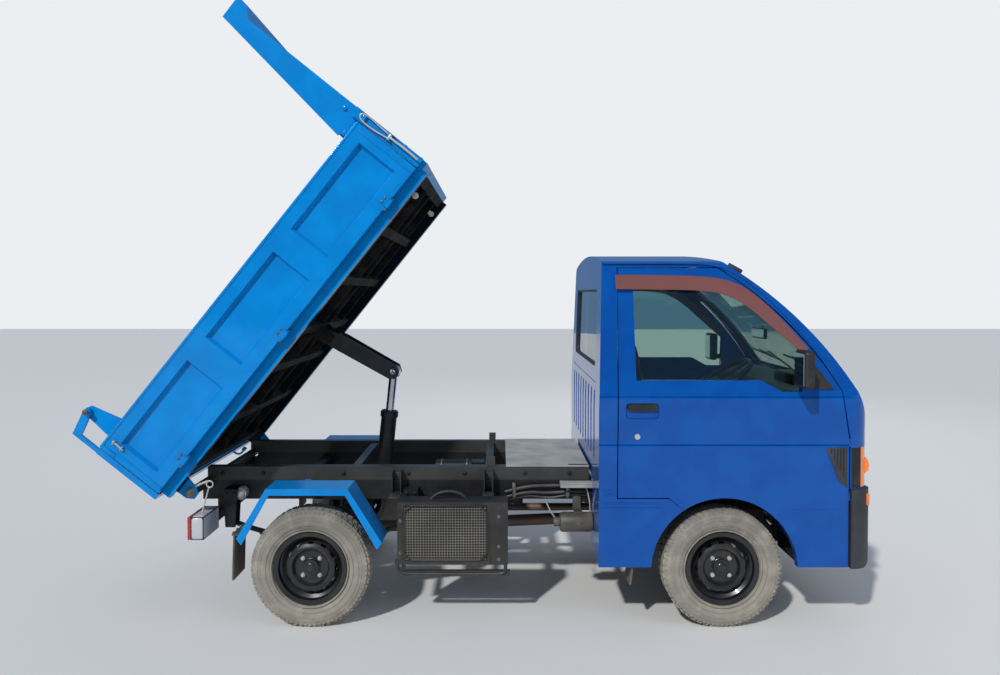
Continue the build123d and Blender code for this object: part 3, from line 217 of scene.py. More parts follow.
def add_floor():
    bpy.ops.mesh.primitive_plane_add(size=60, location=(0, 0, 0))
    floor = bpy.context.object
    floor.name = "floor"
    material = bpy.data.materials.new("pale floor")
    material.use_nodes = True
    shader = material.node_tree.nodes["Principled BSDF"]
    feed(material.node_tree, shader, {"Base Color": (0.62, 0.61, 0.59, 1), "Roughness": 0.9})
    floor.data.materials.append(material)


add_world()
add_floor()
bpy.context.scene.view_settings.view_transform = "Standard"


# %% [markdown]
# ## Shared effects
# Paint, plastic and rubber on a working truck share two things: road dust that lies thicker in patches and low
# down, and a fine grain. Each is a node group, built once, that every finish uses with its own values.

# %% Shader node groups
def new_group(name, numbers, results):
    "Empty shader group that takes a vector and numbers with their start values, and gives numbers"
    group = bpy.data.node_groups.new(name, "ShaderNodeTree")
    add = group.interface.new_socket
    add(name="Vector", in_out="INPUT", socket_type="NodeSocketVector")
    for label, value in numbers.items():
        add(name=label, in_out="INPUT", socket_type="NodeSocketFloat").default_value = value
    for label in results:
        add(name=label, in_out="OUTPUT", socket_type="NodeSocketFloat")
    return group, group.nodes.new("NodeGroupInput").outputs, group.nodes.new("NodeGroupOutput")


def math_node(tree, work, *values, clamp=False):
    return add_node(tree, "Math", dict(enumerate(values)), operation=work, use_clamp=clamp).outputs[0]


def noise_node(tree, vector, scale, detail, rough=0.55):
    inputs = {"Vector": vector, "Scale": scale, "Detail": detail, "Roughness": rough}
    return add_node(tree, "TexNoise", inputs).outputs["Fac"]


def ramp(tree, value, low, high):
    "Smooth step of a value between two levels"
    inputs = {"Value": value, "From Min": low, "From Max": high}
    return add_node(tree, "MapRange", inputs, interpolation_type="SMOOTHSTEP").outputs["Result"]


def make_dust_group():
    "Mask of road dust: cloudy patches, plus more below a given height"
    group, given, result = new_group("road dust", {"Scale": 6.0, "Amount": 0.4, "Low": 0.6}, ["Mask"])
    vector = given["Vector"]
    cloud = ramp(group, noise_node(group, vector, given["Scale"], 6, 0.65), 0.42, 0.72)
    speck = ramp(group, noise_node(group, vector, 90, 3, 0.7), 0.45, 0.75)
    drop = math_node(group, "SUBTRACT", given["Low"], split_xyz(group, vector)["Z"])
    low = ramp(group, drop, 0.0, 0.5)
    patch = math_node(group, "MULTIPLY", cloud, math_node(group, "MULTIPLY_ADD", speck, 0.5, 0.5))
    total = math_node(group, "ADD", patch, math_node(group, "MULTIPLY", low, 0.7))
    feed(group, result, {"Mask": math_node(group, "MULTIPLY", total, given["Amount"], clamp=True)})
    return group


def make_grain_group():
    "Fine grain and a slow waver, as values for roughness and bump"
    group, given, result = new_group("grain", {"Scale": 400.0}, ["Fine", "Waver"])
    feed(group, result, {"Fine": noise_node(group, given["Vector"], given["Scale"], 3),
                         "Waver": noise_node(group, given["Vector"], 7, 2)})
    return group


DUST = make_dust_group()
GRAIN = make_grain_group()
print("groups", [g.name for g in bpy.data.node_groups])


# %% [markdown]
# ## Finishes
# One function builds an opaque finish: a colour that wavers a little, dust over it, grain for the bump and a
# clear coat where there is one. Colours are given as they look, 0 to 255, and turned into linear light.

# %% Opaque finishes
M = {}
# black of the bed's underside: partly its black paint, partly painted shade under the raised bed
BLACK_PAINT_AND_SHADE_BENEATH = (20, 22, 26)
DUSTY_ROUGH = 0.9


def linear(red, green, blue):
    "Colour as it looks on a screen, turned into the linear values a shader takes"
    return tuple((c / 255 / 12.92) if c < 10 else ((c / 255 + 0.055) / 1.055) ** 2.4
                 for c in (red, green, blue)) + (1,)


def new_material(name):
    "Material kept in M under its name, as its tree, its shader and the place on the object"
    M[name] = bpy.data.materials.new(name)
    M[name].use_nodes = True
    tree = M[name].node_tree
    return tree, tree.nodes["Principled BSDF"], object_place(tree)


def mix_colour(tree, mask, a, b):
    "Colour a where the mask is 0 and b where it is 1; each is a socket or a colour"
    return add_node(tree, "Mix", {"Factor": mask, "A": a, "B": b}, data_type="RGBA").outputs["Result"]


def beneath(tree, place, half_width, bottom, top):
    """Mask of what lies between two heights of the lowered bed, within a half width: the underside that takes black
    paint and painted shade
    """
    lowered = add_node(tree, "VectorMath", {0: place, 1: LOWER[2].xyz}, operation="DOT_PRODUCT")
    height = math_node(tree, "ADD", lowered.outputs["Value"], LOWER[2][3])
    side = math_node(tree, "ABSOLUTE", split_xyz(tree, place)["Y"])
    inside = math_node(tree, "LESS_THAN", side, half_width)
    below = math_node(tree, "LESS_THAN", height, top)
    above = math_node(tree, "GREATER_THAN", height, bottom)
    return math_node(tree, "MULTIPLY", inside, math_node(tree, "MULTIPLY", below, above))


def finish(name, colour, shade, rough, dust=0.2, low=0.6, dirt=(150, 138, 120), grain=400.0, bump=0.02,
           metal=0.0, coat=0.0, dust_scale=6.0, shine=0.5, tint=None, under=None):
    """Opaque finish: colour and a shade it wavers to, dust, grain and clear coat; under is the half width, bottom and
    top of what is black on the lowered bed, partly its black paint and partly painted shade beneath it"""
    tree, shader, place = new_material(name)
    grains = add_node(tree, "Group", {"Vector": place, "Scale": grain}, node_tree=GRAIN)
    mask = add_node(tree, "Group", {"Vector": place, "Amount": dust, "Low": low, "Scale": dust_scale},
                    node_tree=DUST).outputs["Mask"]
    tone = mix_colour(tree, ramp(tree, grains.outputs["Waver"], 0.3, 0.7), linear(*colour), linear(*shade))
    dusty = mix_colour(tree, mask, tone, linear(*dirt))
    if under:
        dusty = mix_colour(tree, beneath(tree, place, *under), dusty, linear(*BLACK_PAINT_AND_SHADE_BENEATH))
    lift = add_node(tree, "Bump", {"Strength": 0.6, "Distance": bump / 100, "Height": grains.outputs["Fine"]})
    feed(tree, shader, {
        "Base Color": dusty, "Specular IOR Level": shine, "Metallic": metal, "Normal": lift.outputs["Normal"],
        "Roughness": math_node(tree, "MULTIPLY_ADD", mask, DUSTY_ROUGH - rough, rough)})
    if tint:
        feed(tree, shader, {"Specular Tint": linear(*tint)})
    if coat:
        clear = math_node(tree, "SUBTRACT", 1.0, mask)
        feed(tree, shader, {"Coat Weight": math_node(tree, "MULTIPLY", clear, coat), "Coat Roughness": 0.06})


# each: name, what it looks like, the shade it wavers to, roughness, then what differs
finish("cab_blue", (0, 74, 152), (0, 66, 142), 0.22, dust=0.02, low=0.3, coat=0.6, bump=0.01,
       dirt=(84, 110, 140), shine=0.4, tint=(90, 160, 255))
BED_PAINT = dict(colour=(0, 129, 202), shade=(0, 118, 190), dirt=(100, 130, 156), shine=0.35,
                 tint=(90, 170, 255))
finish("bed_blue", rough=0.28, dust=0.04, low=0.4, coat=0.4, **BED_PAINT)
# the bed's floor, blue above and black beneath: partly black paint, partly painted shade
finish("bed_under", rough=0.3, dust=0.05, low=0.5, under=(0.6395, 0.6575, 0.7325), **BED_PAINT)
finish("satin_grey", (50, 51, 48), (40, 41, 39), 0.42, dust=0.12, low=0.2, bump=0.04, dirt=(120, 116, 106))
finish("undercoat", (14, 15, 17), (20, 20, 22), 0.85, low=0.3, shine=0.2)
finish("chassis_black", (22, 22, 25), (16, 16, 18), 0.45, dust=0.1, low=0.2, bump=0.05, shine=0.4,
       dirt=(120, 112, 100))
finish("hoist_black", (20, 22, 26), (15, 16, 19), 0.4, dust=0.12, low=0.3)
finish("deck_steel", (168, 167, 162), (140, 141, 140), 0.62, dust=0.5, bump=0.05, dust_scale=9.0)
finish("iron", (70, 68, 66), (50, 49, 48), 0.7, dust=0.35, grain=150, bump=0.15)
finish("exhaust_steel", (96, 90, 84), (110, 84, 62), 0.55, dust=0.3, metal=0.6)
finish("rod_chrome", (196, 198, 200), (176, 178, 182), 0.18, dust=0.05, metal=1, bump=0)
finish("tyre_rubber", (92, 90, 85), (106, 103, 96), 0.88, dust=0.5, low=0.75, dirt=(172, 166, 150),
       grain=260, bump=0.08, dust_scale=14.0)
finish("wheel_black", (16, 16, 18), (24, 24, 25), 0.34, dust=0.1, low=0.2, coat=0.3)
finish("bumper_grey", (46, 50, 54), (38, 42, 46), 0.58, dust=0.12, low=0.4, grain=900, bump=0.08)
finish("black_plastic", (20, 20, 22), (26, 26, 28), 0.55, dust=0.12, grain=900, bump=0.06)
finish("dash_grey", (120, 124, 128), (108, 112, 116), 0.7, dust=0.05, grain=700, bump=0.06)
finish("seat_fabric", (58, 58, 62), (48, 48, 52), 0.92, dust=0.05, grain=1500, bump=0.2)
finish("lamp_amber", (226, 108, 20), (232, 120, 28), 0.2, dust=0.05, coat=0.8, bump=0)
finish("lamp_red", (168, 22, 18), (150, 18, 16), 0.2, dust=0.08, coat=0.8, bump=0)
finish("bare_steel", (120, 118, 112), (96, 92, 86), 0.4, dust=0.25, metal=0.8, bump=0.03)
finish("dark_gap", (12, 12, 13), (16, 16, 17), 0.8, dust=0.1)
finish("seal_rubber", (22, 22, 23), (28, 28, 29), 0.6, dust=0.12, bump=0.03)
finish("mirror_face", (205, 210, 214), (200, 205, 210), 0.04, dust=0.02, metal=1, bump=0)
finish("bright_wire", (196, 196, 192), (172, 171, 166), 0.35, dust=0.08, metal=0.35)
finish("amber_plain", (214, 104, 26), (222, 116, 34), 0.3, dust=0.08, coat=0.5, bump=0)
finish("mesh_grey", (124, 122, 116), (104, 102, 96), 0.5, dust=0.25, metal=0.2)
finish("canister_grey", (62, 61, 59), (48, 47, 46), 0.5, dust=0.45, metal=0.1, bump=0.05)
finish("lamp_white", (186, 188, 192), (168, 170, 176), 0.3, dust=0.15, coat=0.4, bump=0)
finish("white_rubber", (205, 203, 196), (190, 188, 180), 0.6, dust=0.15, bump=0.03)
finish("flap_rubber", (44, 43, 42), (56, 54, 52), 0.8, dust=0.45, low=0.5, bump=0.1)
print("finishes", len(M))


# %% [markdown]
# Window glass on this cab is lightly green. Real panes are thin, so the shader gets full transmission and the
# pane's own thickness does the rest.

# %% Glass
def glass(name, colour, rough, through=1.0):
    tree, shader, place = new_material(name)
    smear = ramp(tree, noise_node(tree, place, 12, 4), 0.45, 0.8)
    feed(tree, shader, {"Base Color": linear(*colour), "Transmission Weight": through, "IOR": 1.45,
                        "Roughness": math_node(tree, "MULTIPLY_ADD", smear, 0.06, rough)})


glass("clear_glass", (206, 226, 216), 0.01)
glass("smoked_visor", (150, 96, 92), 0.08, 0.5)
glass("lamp_clear", (236, 240, 240), 0.02)
print("finishes with glass", len(M))


# %% [markdown]
# ## Dress the CAD nodes
# Every node takes the finish of its slot in the record, but the arches and the bed's cross members are black,
# its floor is black beneath, partly its black paint and partly painted shade under the raised bed, and the hoist's
# frame is a satin grey.

# %% Finishes on the nodes
def dress(ob, name):
    ob.data.materials.clear()
    ob.data.materials.append(M[name])


for part in frame["record"]["subparts"]:
    dress(nodes[part["node"]], part["material_slot"])
dress(nodes["wheel_houses"], "undercoat")
dress(nodes["bed_floor"], "bed_under")
dress(nodes["bed_cross_members"], "undercoat")
dress(nodes["dump_subframe"], "satin_grey")


# %% [markdown]
# ## Ways to model
# Each small piece starts as a primitive at its size and place and is shaped in edit mode. A piece is then named,
# given a finish and set to ride on the body that carries it.

# %% Modelling steps
def edit(*steps):
    "Run operators on the whole mesh of the active object; each step is an operator with its settings"
    bpy.ops.object.mode_set(mode="EDIT")
    bpy.ops.mesh.select_all(action="SELECT")
    for operator, settings in steps:
        operator(**settings)
    bpy.ops.object.mode_set(mode="OBJECT")


def only(ob):
    "Make one object the selected and active one"
    bpy.ops.object.select_all(action="DESELECT")
    ob.select_set(True)
    bpy.context.view_layer.objects.active = ob
    return ob


def fresh(primitive, **settings):
    "New mesh from one of the primitives, with nothing else selected"
    bpy.ops.object.select_all(action="DESELECT")
    primitive(**settings)
    return bpy.context.object


def settle():
    "Put the active object's origin back at the world's, unturned and unscaled"
    bpy.ops.object.transform_apply(location=True, rotation=True, scale=True)
    return bpy.context.object


def mesh_object(points, faces):
    mesh = bpy.data.meshes.new("mesh")
    mesh.from_pydata(points, [], faces)
    return only(show(bpy.data.objects.new("mesh", mesh)))


def modified(ob, kind, **settings):
    "Add one modifier with its settings and apply it"
    only(ob)
    modifier = ob.modifiers.new(kind, kind)
    for key, value in settings.items():
        setattr(modifier, key, value)
    bpy.ops.object.modifier_apply(modifier=kind)
    return ob


def rounded(ob, edge, steps=2):
    "Round the sharp edges with a bevel"
    if edge:
        modified(ob, "BEVEL", width=edge, segments=steps, limit_method="ANGLE", angle_limit=radians(40))
    return ob


def block(low, high, edge=0.003, steps=2):
    "Box between two corners with rounded edges"
    cube = fresh(bpy.ops.mesh.primitive_cube_add, size=1, location=(Vector(low) + Vector(high)) / 2)
    cube.scale = Vector(high) - Vector(low)
    return rounded(settle(), edge, steps)


def rod(start, end, radius, sides=16, edge=None, tip=None):
    "Round bar between two points; tip is the radius at its end where it tapers"
    start, end = Vector(start), Vector(end)
    fresh(bpy.ops.mesh.primitive_cone_add, vertices=sides, radius1=radius, radius2=radius if tip is None else tip,
          depth=(end - start).length, location=(start + end) / 2,
          rotation=(end - start).to_track_quat("Z", "Y").to_euler())
    return rounded(settle(), radius * 0.18 if edge is None else edge)


def plate(points, thick, edge=0.002):
    "Flat plate from an outline of 3-D points, made thick along Y"
    ob = mesh_object(points, [list(range(len(points)))])
    edit((bpy.ops.mesh.extrude_region_move, {"TRANSFORM_OT_translate": {"value": (0, thick, 0)}}),
         (bpy.ops.mesh.select_all, {"action": "SELECT"}),
         (bpy.ops.mesh.normals_make_consistent, {"inside": False}))
    return rounded(ob, edge)


def pipe(points, radius, smooth=True):
    "Bent pipe or wire through a few points"
    curve = bpy.data.curves.new("pipe", "CURVE")
    curve.dimensions = "3D"
    curve.bevel_depth = radius
    curve.bevel_resolution = 3
    curve.use_fill_caps = True
    spline = curve.splines.new("NURBS" if smooth else "POLY")
    spline.points.add(len(points) - 1)
    for point, place in zip(spline.points, points):
        point.co = (*place, 1)
    if smooth:
        spline.order_u = 3
        spline.use_endpoint_u = True
        curve.resolution_u = 8
    only(show(bpy.data.objects.new("pipe", curve)))
    bpy.ops.object.convert(target="MESH")
    return bpy.context.object


def bolt(place, radius, height, way=(0, -1, 0)):
    "Hexagon head on a washer, standing on a point and looking outwards or a given way"
    way = Vector(way)
    washer = rod(place - way * 0.002, place + way * 0.0018, radius * 1.45, 20, 0.0005)
    head = rod(place, place + way * height, radius, 6, 0.001)
    return join(washer, head)


def join(*obs):
    "Several meshes as one object"
    only(obs[0])
    for ob in obs[1:]:
        ob.select_set(True)
    bpy.ops.object.join()
    return bpy.context.object


def twin(ob, matrix):
    "Copy with its own mesh, moved by a matrix"
    copy = ob.copy()
    copy.data = ob.data.copy()
    copy.data.transform(matrix)
    if matrix.determinant() < 0:
        copy.data.flip_normals()
    return show(copy)


def around(ob, count, start=0):
    "Copies of a piece round the Y axis, joined with it"
    ob.data.transform(Matrix.Rotation(start, 4, "Y"))
    return join(ob, *[twin(ob, Matrix.Rotation(2 * pi * i / count, 4, "Y")) for i in range(1, count)])


# %% [markdown]
# ### Stations
# Most pieces are measured from an axle, so a station takes x, and where it helps y, from its own place.

# %% Stations
class Station:
    "Modelling steps with x and y measured from a place on the truck"

    def __init__(self, x, y=0):
        self.x, self.y = x, y

    def at(self, x, y, z):
        return Vector((self.x + x, self.y + y, z))

    def block(self, low, high, *how):
        return block(self.at(*low), self.at(*high), *how)

    def blocks(self, *rows):
        return [self.block(*row) for row in rows]

    def rod(self, start, end, *how):
        return rod(self.at(*start), self.at(*end), *how)

    def pipe(self, points, *how):
        return pipe([self.at(*point) for point in points], *how)

    def bolt(self, place, *how):
        return bolt(self.at(*place), *how)


front, rear = Station(FRONT), Station(REAR)
door, panel = Station(FRONT, -SIDE), Station(REAR, -SIDE)
print("stations", front.x, rear.x)


# %% [markdown]
# ### Finished pieces
# Every piece ends here: its place, its name, its finish and the body it rides on; where no look is given, the finish
# is the one named by its slot.

# %% Keeping a piece
MIRROR = Matrix.Scale(-1, 4, (0, 1, 0))
SIDED = ("door", "side_gate")


def gathered(ob, place):
    "One object, joined where it comes as a list, and moved by a matrix if there is one"
    ob = join(*ob) if isinstance(ob, list) else ob
    if place is not None:
        ob.data.transform(place)
    return ob


def keep(ob, name, slot, look=None, body="chassis", place=None, smooth=35):
    "Name a finished piece, place it, give it its finish and set it to ride on a body"
    ob = gathered(ob, place)
    only(ob)
    edit((bpy.ops.mesh.remove_doubles, {"threshold": 0.00001}),
         (bpy.ops.mesh.normals_make_consistent, {"inside": False}))
    bpy.ops.object.shade_smooth_by_angle(angle=radians(smooth))
    ob.name = name
    ob.data.name = name
    dress(ob, look or slot)
    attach(ob, body)
    return ob


def pair(ob, name, slot, look=None, body="chassis", place=None, smooth=35):
    "A piece of the right side and its mirror on the left; doors and side gates have a body on each side"
    ob = gathered(ob, place)
    other = twin(ob, MIRROR)
    for half, side in ((ob, "_right"), (other, "_left")):
        keep(half, name + side, slot, look, body + side if body in SIDED else body, smooth=smooth)


print("mirror", MIRROR.determinant())


# %% [markdown]
# ## Tyres
# The CAD tyre is smooth. One tread block, one shoulder lug and the rings of the sidewall are modelled at the
# middle of a wheel, repeated round it, and then set on each corner.

# %% Tread and sidewall
low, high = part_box("tyre_rear_right")
TYRE_R = (high[2] - low[2]) / 2
RIM_R = 0.168
TREAD_BLOCKS = 54
SHOULDER_LUGS = 76
FINE = 0.001


def ring(radius, y, width, depth, sides=72):
    "Rib round the wheel's axis at a radius, standing out along the axis; a fine torus is stretched to its size"
    fresh(bpy.ops.mesh.primitive_torus_add, major_radius=radius, minor_radius=FINE, major_segments=sides,
          minor_segments=10, rotation=(radians(90), 0, 0))
    ob = settle()
    for vertex in ob.data.vertices:
        r = (vertex.co.x ** 2 + vertex.co.z ** 2) ** 0.5
        grow = (radius + (r - radius) * width / FINE) / r
        vertex.co = (vertex.co.x * grow, y + vertex.co.y * depth / FINE, vertex.co.z * grow)
    return ob


def tread_row(y, width, length, shift, lean):
    "One row of tread blocks at a place across the tyre"
    one = block((-length / 2, y - width / 2, TYRE_R - 0.006), (length / 2, y + width / 2, TYRE_R + 0.002),
                0.0015, 1)
    one.data.transform(Matrix.Rotation(lean, 4, "Z"))
    one.data.transform(Matrix.Rotation(shift, 4, "Y"))
    return around(one, TREAD_BLOCKS)


def make_tread():
    step = 2 * pi / TREAD_BLOCKS
    rows = [tread_row(y, 0.02, 0.025, i * step / 2, 0.25 * (-1) ** i)
            for i, y in enumerate((-0.044, -0.0147, 0.0147, 0.044))]
    for y in (-0.06, 0.06):
        lug = block((-0.0065, y - 0.005, TYRE_R - 0.018), (0.0065, y + 0.005, TYRE_R - 0.0085), 0.0025, 1)
        rows.append(around(lug, SHOULDER_LUGS))
    return join(*rows)


def make_sidewall():
    "Rim guard and fine rings on the outer side"
    rows = [(RIM_R + 0.01, -0.066, 0.0035, 0.0045), (RIM_R + 0.034, -0.0712, 0.0012, 0.0022),
            (TYRE_R - 0.046, -0.0715, 0.0018, 0.003), (TYRE_R - 0.04, -0.0705, 0.0012, 0.0022),
            (TYRE_R - 0.033, -0.068, 0.0036, 0.0042)]
    return join(*[ring(*row) for row in rows])


tread = make_tread()
sidewall = make_sidewall()
print("tread faces", len(tread.data.polygons), "sidewall faces", len(sidewall.data.polygons))


# %% [markdown]
# ## Wheels
# Black steel wheels: four nuts, a cap over the bearing, a valve and a rolled lip on the flange.

# %% Wheel trim
def wheel_nuts():
    "Four tapered nuts, each on its washer with the stud's end showing"
    nut = rod((0.055, -0.02, 0), (0.055, -0.036, 0), 0.0115, 6, 0.0015, 0.0105)
    washer = rod((0.055, -0.016, 0), (0.055, -0.0225, 0), 0.0155, 24, 0.001, 0.0125)
    stud = rod((0.055, -0.03, 0), (0.055, -0.041, 0), 0.0055, 12, 0.001)
    return around(join(nut, washer, stud), 4, pi / 4)


def hub_cap():
    "Domed cap with a stepped rim"
    cap = rod((0, -0.02, 0), (0, -0.046, 0), 0.0365, 40, 0.004, 0.033)
    dome = rod((0, -0.044, 0), (0, -0.052, 0), 0.027, 40, 0.004, 0.019)
    return join(cap, dome, ring(0.036, -0.026, 0.004, 0.004, 48))


nuts = wheel_nuts()
lip = ring(RIM_R - 0.001, -0.0565, 0.003, 0.003)
valve = rod((0.118, -0.035, 0.05), (0.108, -0.06, 0.046), 0.0042, 12, 0.0008, 0.003)
cap = hub_cap()
TRIM = ((tread, "tread", "tyre_rubber"), (sidewall, "sidewall_rings", "tyre_rubber"),
        (nuts, "wheel_nuts", "wheel_black", "bright_wire"), (lip, "wheel_lip", "wheel_black"),
        (valve, "tyre_valve", "wheel_black", "black_plastic"), (cap, "hub_cap", "wheel_black"))
for end, x in (("front", FRONT), ("rear", REAR)):
    for side, y, turn in (("right", -WHEEL_Y, 0), ("left", WHEEL_Y, pi)):
        corner = end + "_" + side
        spot = Matrix.Translation((x, y, AXLE_Z)) @ Matrix.Rotation(turn, 4, "Z")
        for ob, name, *finishes in TRIM:
            keep(twin(ob, spot), name + "_" + corner, *finishes, body="wheel_" + corner)
for ob, *_ in TRIM:
    bpy.data.objects.remove(ob)
print("wheels dressed with", len(TRIM), "pieces each")


# %% [markdown]
# ## Rubber round the glass
# Each pane's outer face gives its own edge, and a round bead follows it, so the rubber lies on the bent glass.

# %% Window rubbers
TREES = {}


def skin(node, origin, way):
    "Point and outward normal where a ray meets a CAD node"
    if node not in TREES:
        TREES[node] = BVHTree.FromObject(nodes[node], bpy.context.evaluated_depsgraph_get())
    place, normal, _, _ = TREES[node].ray_cast(Vector(origin), Vector(way))
    return place, (normal if normal.dot(Vector(way)) < 0 else -normal)


def bead(node, way, radius):
    "Round bead along the edge of the pane's face that looks a given way"
    ob = twin(nodes[node], Matrix())
    ob.parent = None
    only(ob)
    edit((bpy.ops.mesh.remove_doubles, {"threshold": 0.00002}),
         (bpy.ops.mesh.select_mode, {"type": "FACE"}),
         (bpy.ops.mesh.select_all, {"action": "DESELECT"}))
    for face in ob.data.polygons:
        face.select = face.normal.dot(Vector(way)) > 0.3
    bpy.ops.object.mode_set(mode="EDIT")
    bpy.ops.mesh.region_to_loop()
    bpy.ops.mesh.select_all(action="INVERT")
    bpy.ops.mesh.delete(type="EDGE")
    bpy.ops.mesh.select_all(action="SELECT")
    bpy.ops.mesh.dissolve_limited(angle_limit=radians(2))
    bpy.ops.mesh.select_mode(type="VERT")
    bpy.ops.object.mode_set(mode="OBJECT")
    bpy.ops.object.convert(target="CURVE")
    curve = bpy.context.object.data
    curve.bevel_depth = radius
    curve.bevel_resolution = 3
    bpy.ops.object.convert(target="MESH")
    return bpy.context.object


for node, way, radius, name, body in (
        ("cab_glass", (1, 0, 0), 0.011, "windshield_rubber", "chassis"),
        ("cab_glass", (-1, 0, 0), 0.012, "rear_window_rubber", "chassis"),
        ("door_window_right", (0, -1, 0), 0.0075, "door_window_rubber_right", "door_right"),
        ("door_window_left", (0, 1, 0), 0.0075, "door_window_rubber_left", "door_left")):
    keep(bead(node, way, radius), name, "black_plastic", "seal_rubber", body)
print("window rubbers", len([o for o in bpy.data.objects if "rubber" in o.name]))


# %% [markdown]
# ## Outside of the cab
# The flank is upright up to the belt line and leans in above it, so trim on the door asks for its Y at a height.

# %% Flank trim
BELT = 1.06
LEAN = 0.084 / 0.626


def flank(x, z, out=0.0):
    "Point on the right flank, x from the front axle, moved outwards"
    return FRONT + x, -(SIDE - max(0.0, z - BELT) * LEAN) - out, z


def strip(top, low, out_top, out_low, thick):
    "Curved strip between two rows of (x from the front axle, z) on the flank"
    points = [flank(x, z, out_top) for x, z in top] + [flank(x, z, out_low) for x, z in low]
    count = len(top)
    ob = mesh_object(points, [(i, i + 1, count + i + 1, count + i) for i in range(count - 1)])
    modified(ob, "SUBSURF", levels=2, boundary_smooth="PRESERVE_CORNERS")
    return modified(ob, "SOLIDIFY", thickness=thick, offset=0)


VISOR_TOP = [(-0.493, 1.626), (-0.24, 1.624), (-0.02, 1.618), (0.09, 1.58), (0.18, 1.512), (0.27, 1.422),
             (0.385, 1.288)]
VISOR_LOW = [(-0.493, 1.56), (-0.24, 1.558), (-0.04, 1.552), (0.05, 1.52), (0.135, 1.462), (0.225, 1.378),
             (0.355, 1.268)]
pair(strip(VISOR_TOP, VISOR_LOW, 0.004, 0.019, 0.0025), "side_visor", "clear_glass", "smoked_visor", "door",
          smooth=60)

DRIP = [(-0.548, 1.679), (-0.25, 1.681), (-0.02, 1.677), (0.11, 1.607), (0.225, 1.508), (0.33, 1.395),
        (0.44, 1.252), (0.53, 1.11)]
pair(pipe([flank(x, z, 0.001) for x, z in DRIP], 0.0045), "drip_rail", "cab_blue", smooth=60)

# dark panel at the front of the door: x from the front axle and height
GARNISH = [(0.457, 0.838), (0.556, 0.842), (0.556, 0.656), (0.516, 0.684)]
pair(plate([door.at(x, 0.0005, z) for x, z in GARNISH], -0.004), "door_garnish", "bumper_grey", body="door")
ribs = [door.block((0.48 + i * 0.014, -0.006, 0.836 - 0.152 * (i + 1) / 6),
                   (0.484 + i * 0.014, -0.003, 0.836), 0.001, 1) for i in range(5)]
pair(ribs, "door_garnish_ribs", "bumper_grey", "black_plastic", "door")

lock = [door.rod((-0.4, 0.002, 0.888), (-0.4, -0.005, 0.888), 0.013, 28, 0.002),
        door.block((-0.4015, -0.0062, 0.881), (-0.3985, -0.0045, 0.895), 0.0004, 1)]
pair(lock, "door_lock", "black_plastic", "bright_wire", "door")

# pressed ribs behind the door: start and end from the front axle, height
RIBS = [(-0.556, -0.506, 0.643), (-0.556, -0.506, 0.625), (-0.556, -0.29, 0.584), (-0.556, -0.29, 0.563)]
ribs = [door.block((a, -0.0025, z - 0.0035), (b, 0.002, z + 0.0035), 0.002) for a, b, z in RIBS]
pair(ribs, "pressed_ribs", "cab_blue")
pair(door.block((0.3, -0.001, 0.553), (0.53, 0.002, 0.556), 0.0008, 1), "door_low_crease", "cab_blue",
          body="door")


# %% [markdown]
# ## Front of the cab
# Wipers, lens ribs and the small lamps find their own place on the bent nose with a ray.

# %% Lamps and wipers
LAMP_Z = 0.748
ARM_REACH = 0.62  # share of the way to the blade's far side at which the arm meets the blade
BLADE = 0.42


def ahead(node, y, z):
    "Point and normal on the front of a node, seen from ahead of the truck"
    return skin(node, (FRONT + 2, y, z), (-1, 0, 0))


def reflector(y):
    "Bright bowl with a bulb behind a headlamp"
    bowl = fresh(bpy.ops.mesh.primitive_uv_sphere_add, segments=32, ring_count=16, radius=1)
    edit((bpy.ops.mesh.bisect, {"plane_co": (-0.15, 0, 0), "plane_no": (1, 0, 0), "clear_outer": True}))
    bowl.data.transform(Matrix.Translation(front.at(0.607, y, LAMP_Z)) @ Matrix.Diagonal((0.055, 0.088, 0.078, 1)))
    modified(bowl, "SOLIDIFY", thickness=0.003)
    return [bowl, front.rod((0.56, y, LAMP_Z), (0.598, y, LAMP_Z), 0.009, 16, 0.003)]


def lens_ribs():
    "Upright ribs of a headlamp's lens"
    rows = []
    for i in range(9):
        y = -0.545 + i * 0.0215
        place, _ = ahead("headlamps", y, LAMP_Z)
        rows.append(block((place.x - 0.003, y - 0.002, 0.668), (place.x + 0.0012, y + 0.002, 0.826), 0.0015, 1))
    return rows


def amber_bulge():
    "Raised middle of the corner lamp, round the nose's corner"
    points = []
    for y in (-0.574, -0.6, -0.624, -0.644):
        place, normal = ahead("corner_lamps", y, LAMP_Z)
        points.append(place + normal * -0.006)
    bulge = pipe(points, 0.026)
    tall = 1.5
    bulge.data.transform(Matrix.Translation((0, 0, LAMP_Z * (1 - tall))) @ Matrix.Diagonal((1, 1, tall, 1)))
    return bulge


pair(reflector(-0.46), "headlamp_reflector", "rod_chrome")
pair(lens_ribs(), "headlamp_ribs", "lamp_clear")
pair(amber_bulge(), "corner_lamp_bulge", "lamp_amber", smooth=60)

nose, _ = ahead("front_bumper", -0.52, 0.545)
housing = block((nose.x - 0.02, -0.59, 0.508), (nose.x + 0.004, -0.45, 0.58), 0.006)
lens = block((nose.x - 0.01, -0.582, 0.516), (nose.x + 0.009, -0.458, 0.572), 0.008, 3)
pair(housing, "bumper_signal_frame", "black_plastic")
pair(lens, "bumper_signal", "lamp_amber")
flat, _ = skin("front_bumper", (FRONT + 0.655, -2, 0.598), (0, 1, 0))
side_lamp = block((flat.x - 0.014, flat.y - 0.004, 0.57), (flat.x + 0.012, flat.y + 0.01, 0.626), 0.006, 3)
pair(side_lamp, "bumper_side_lamp", "lamp_amber", "amber_plain")


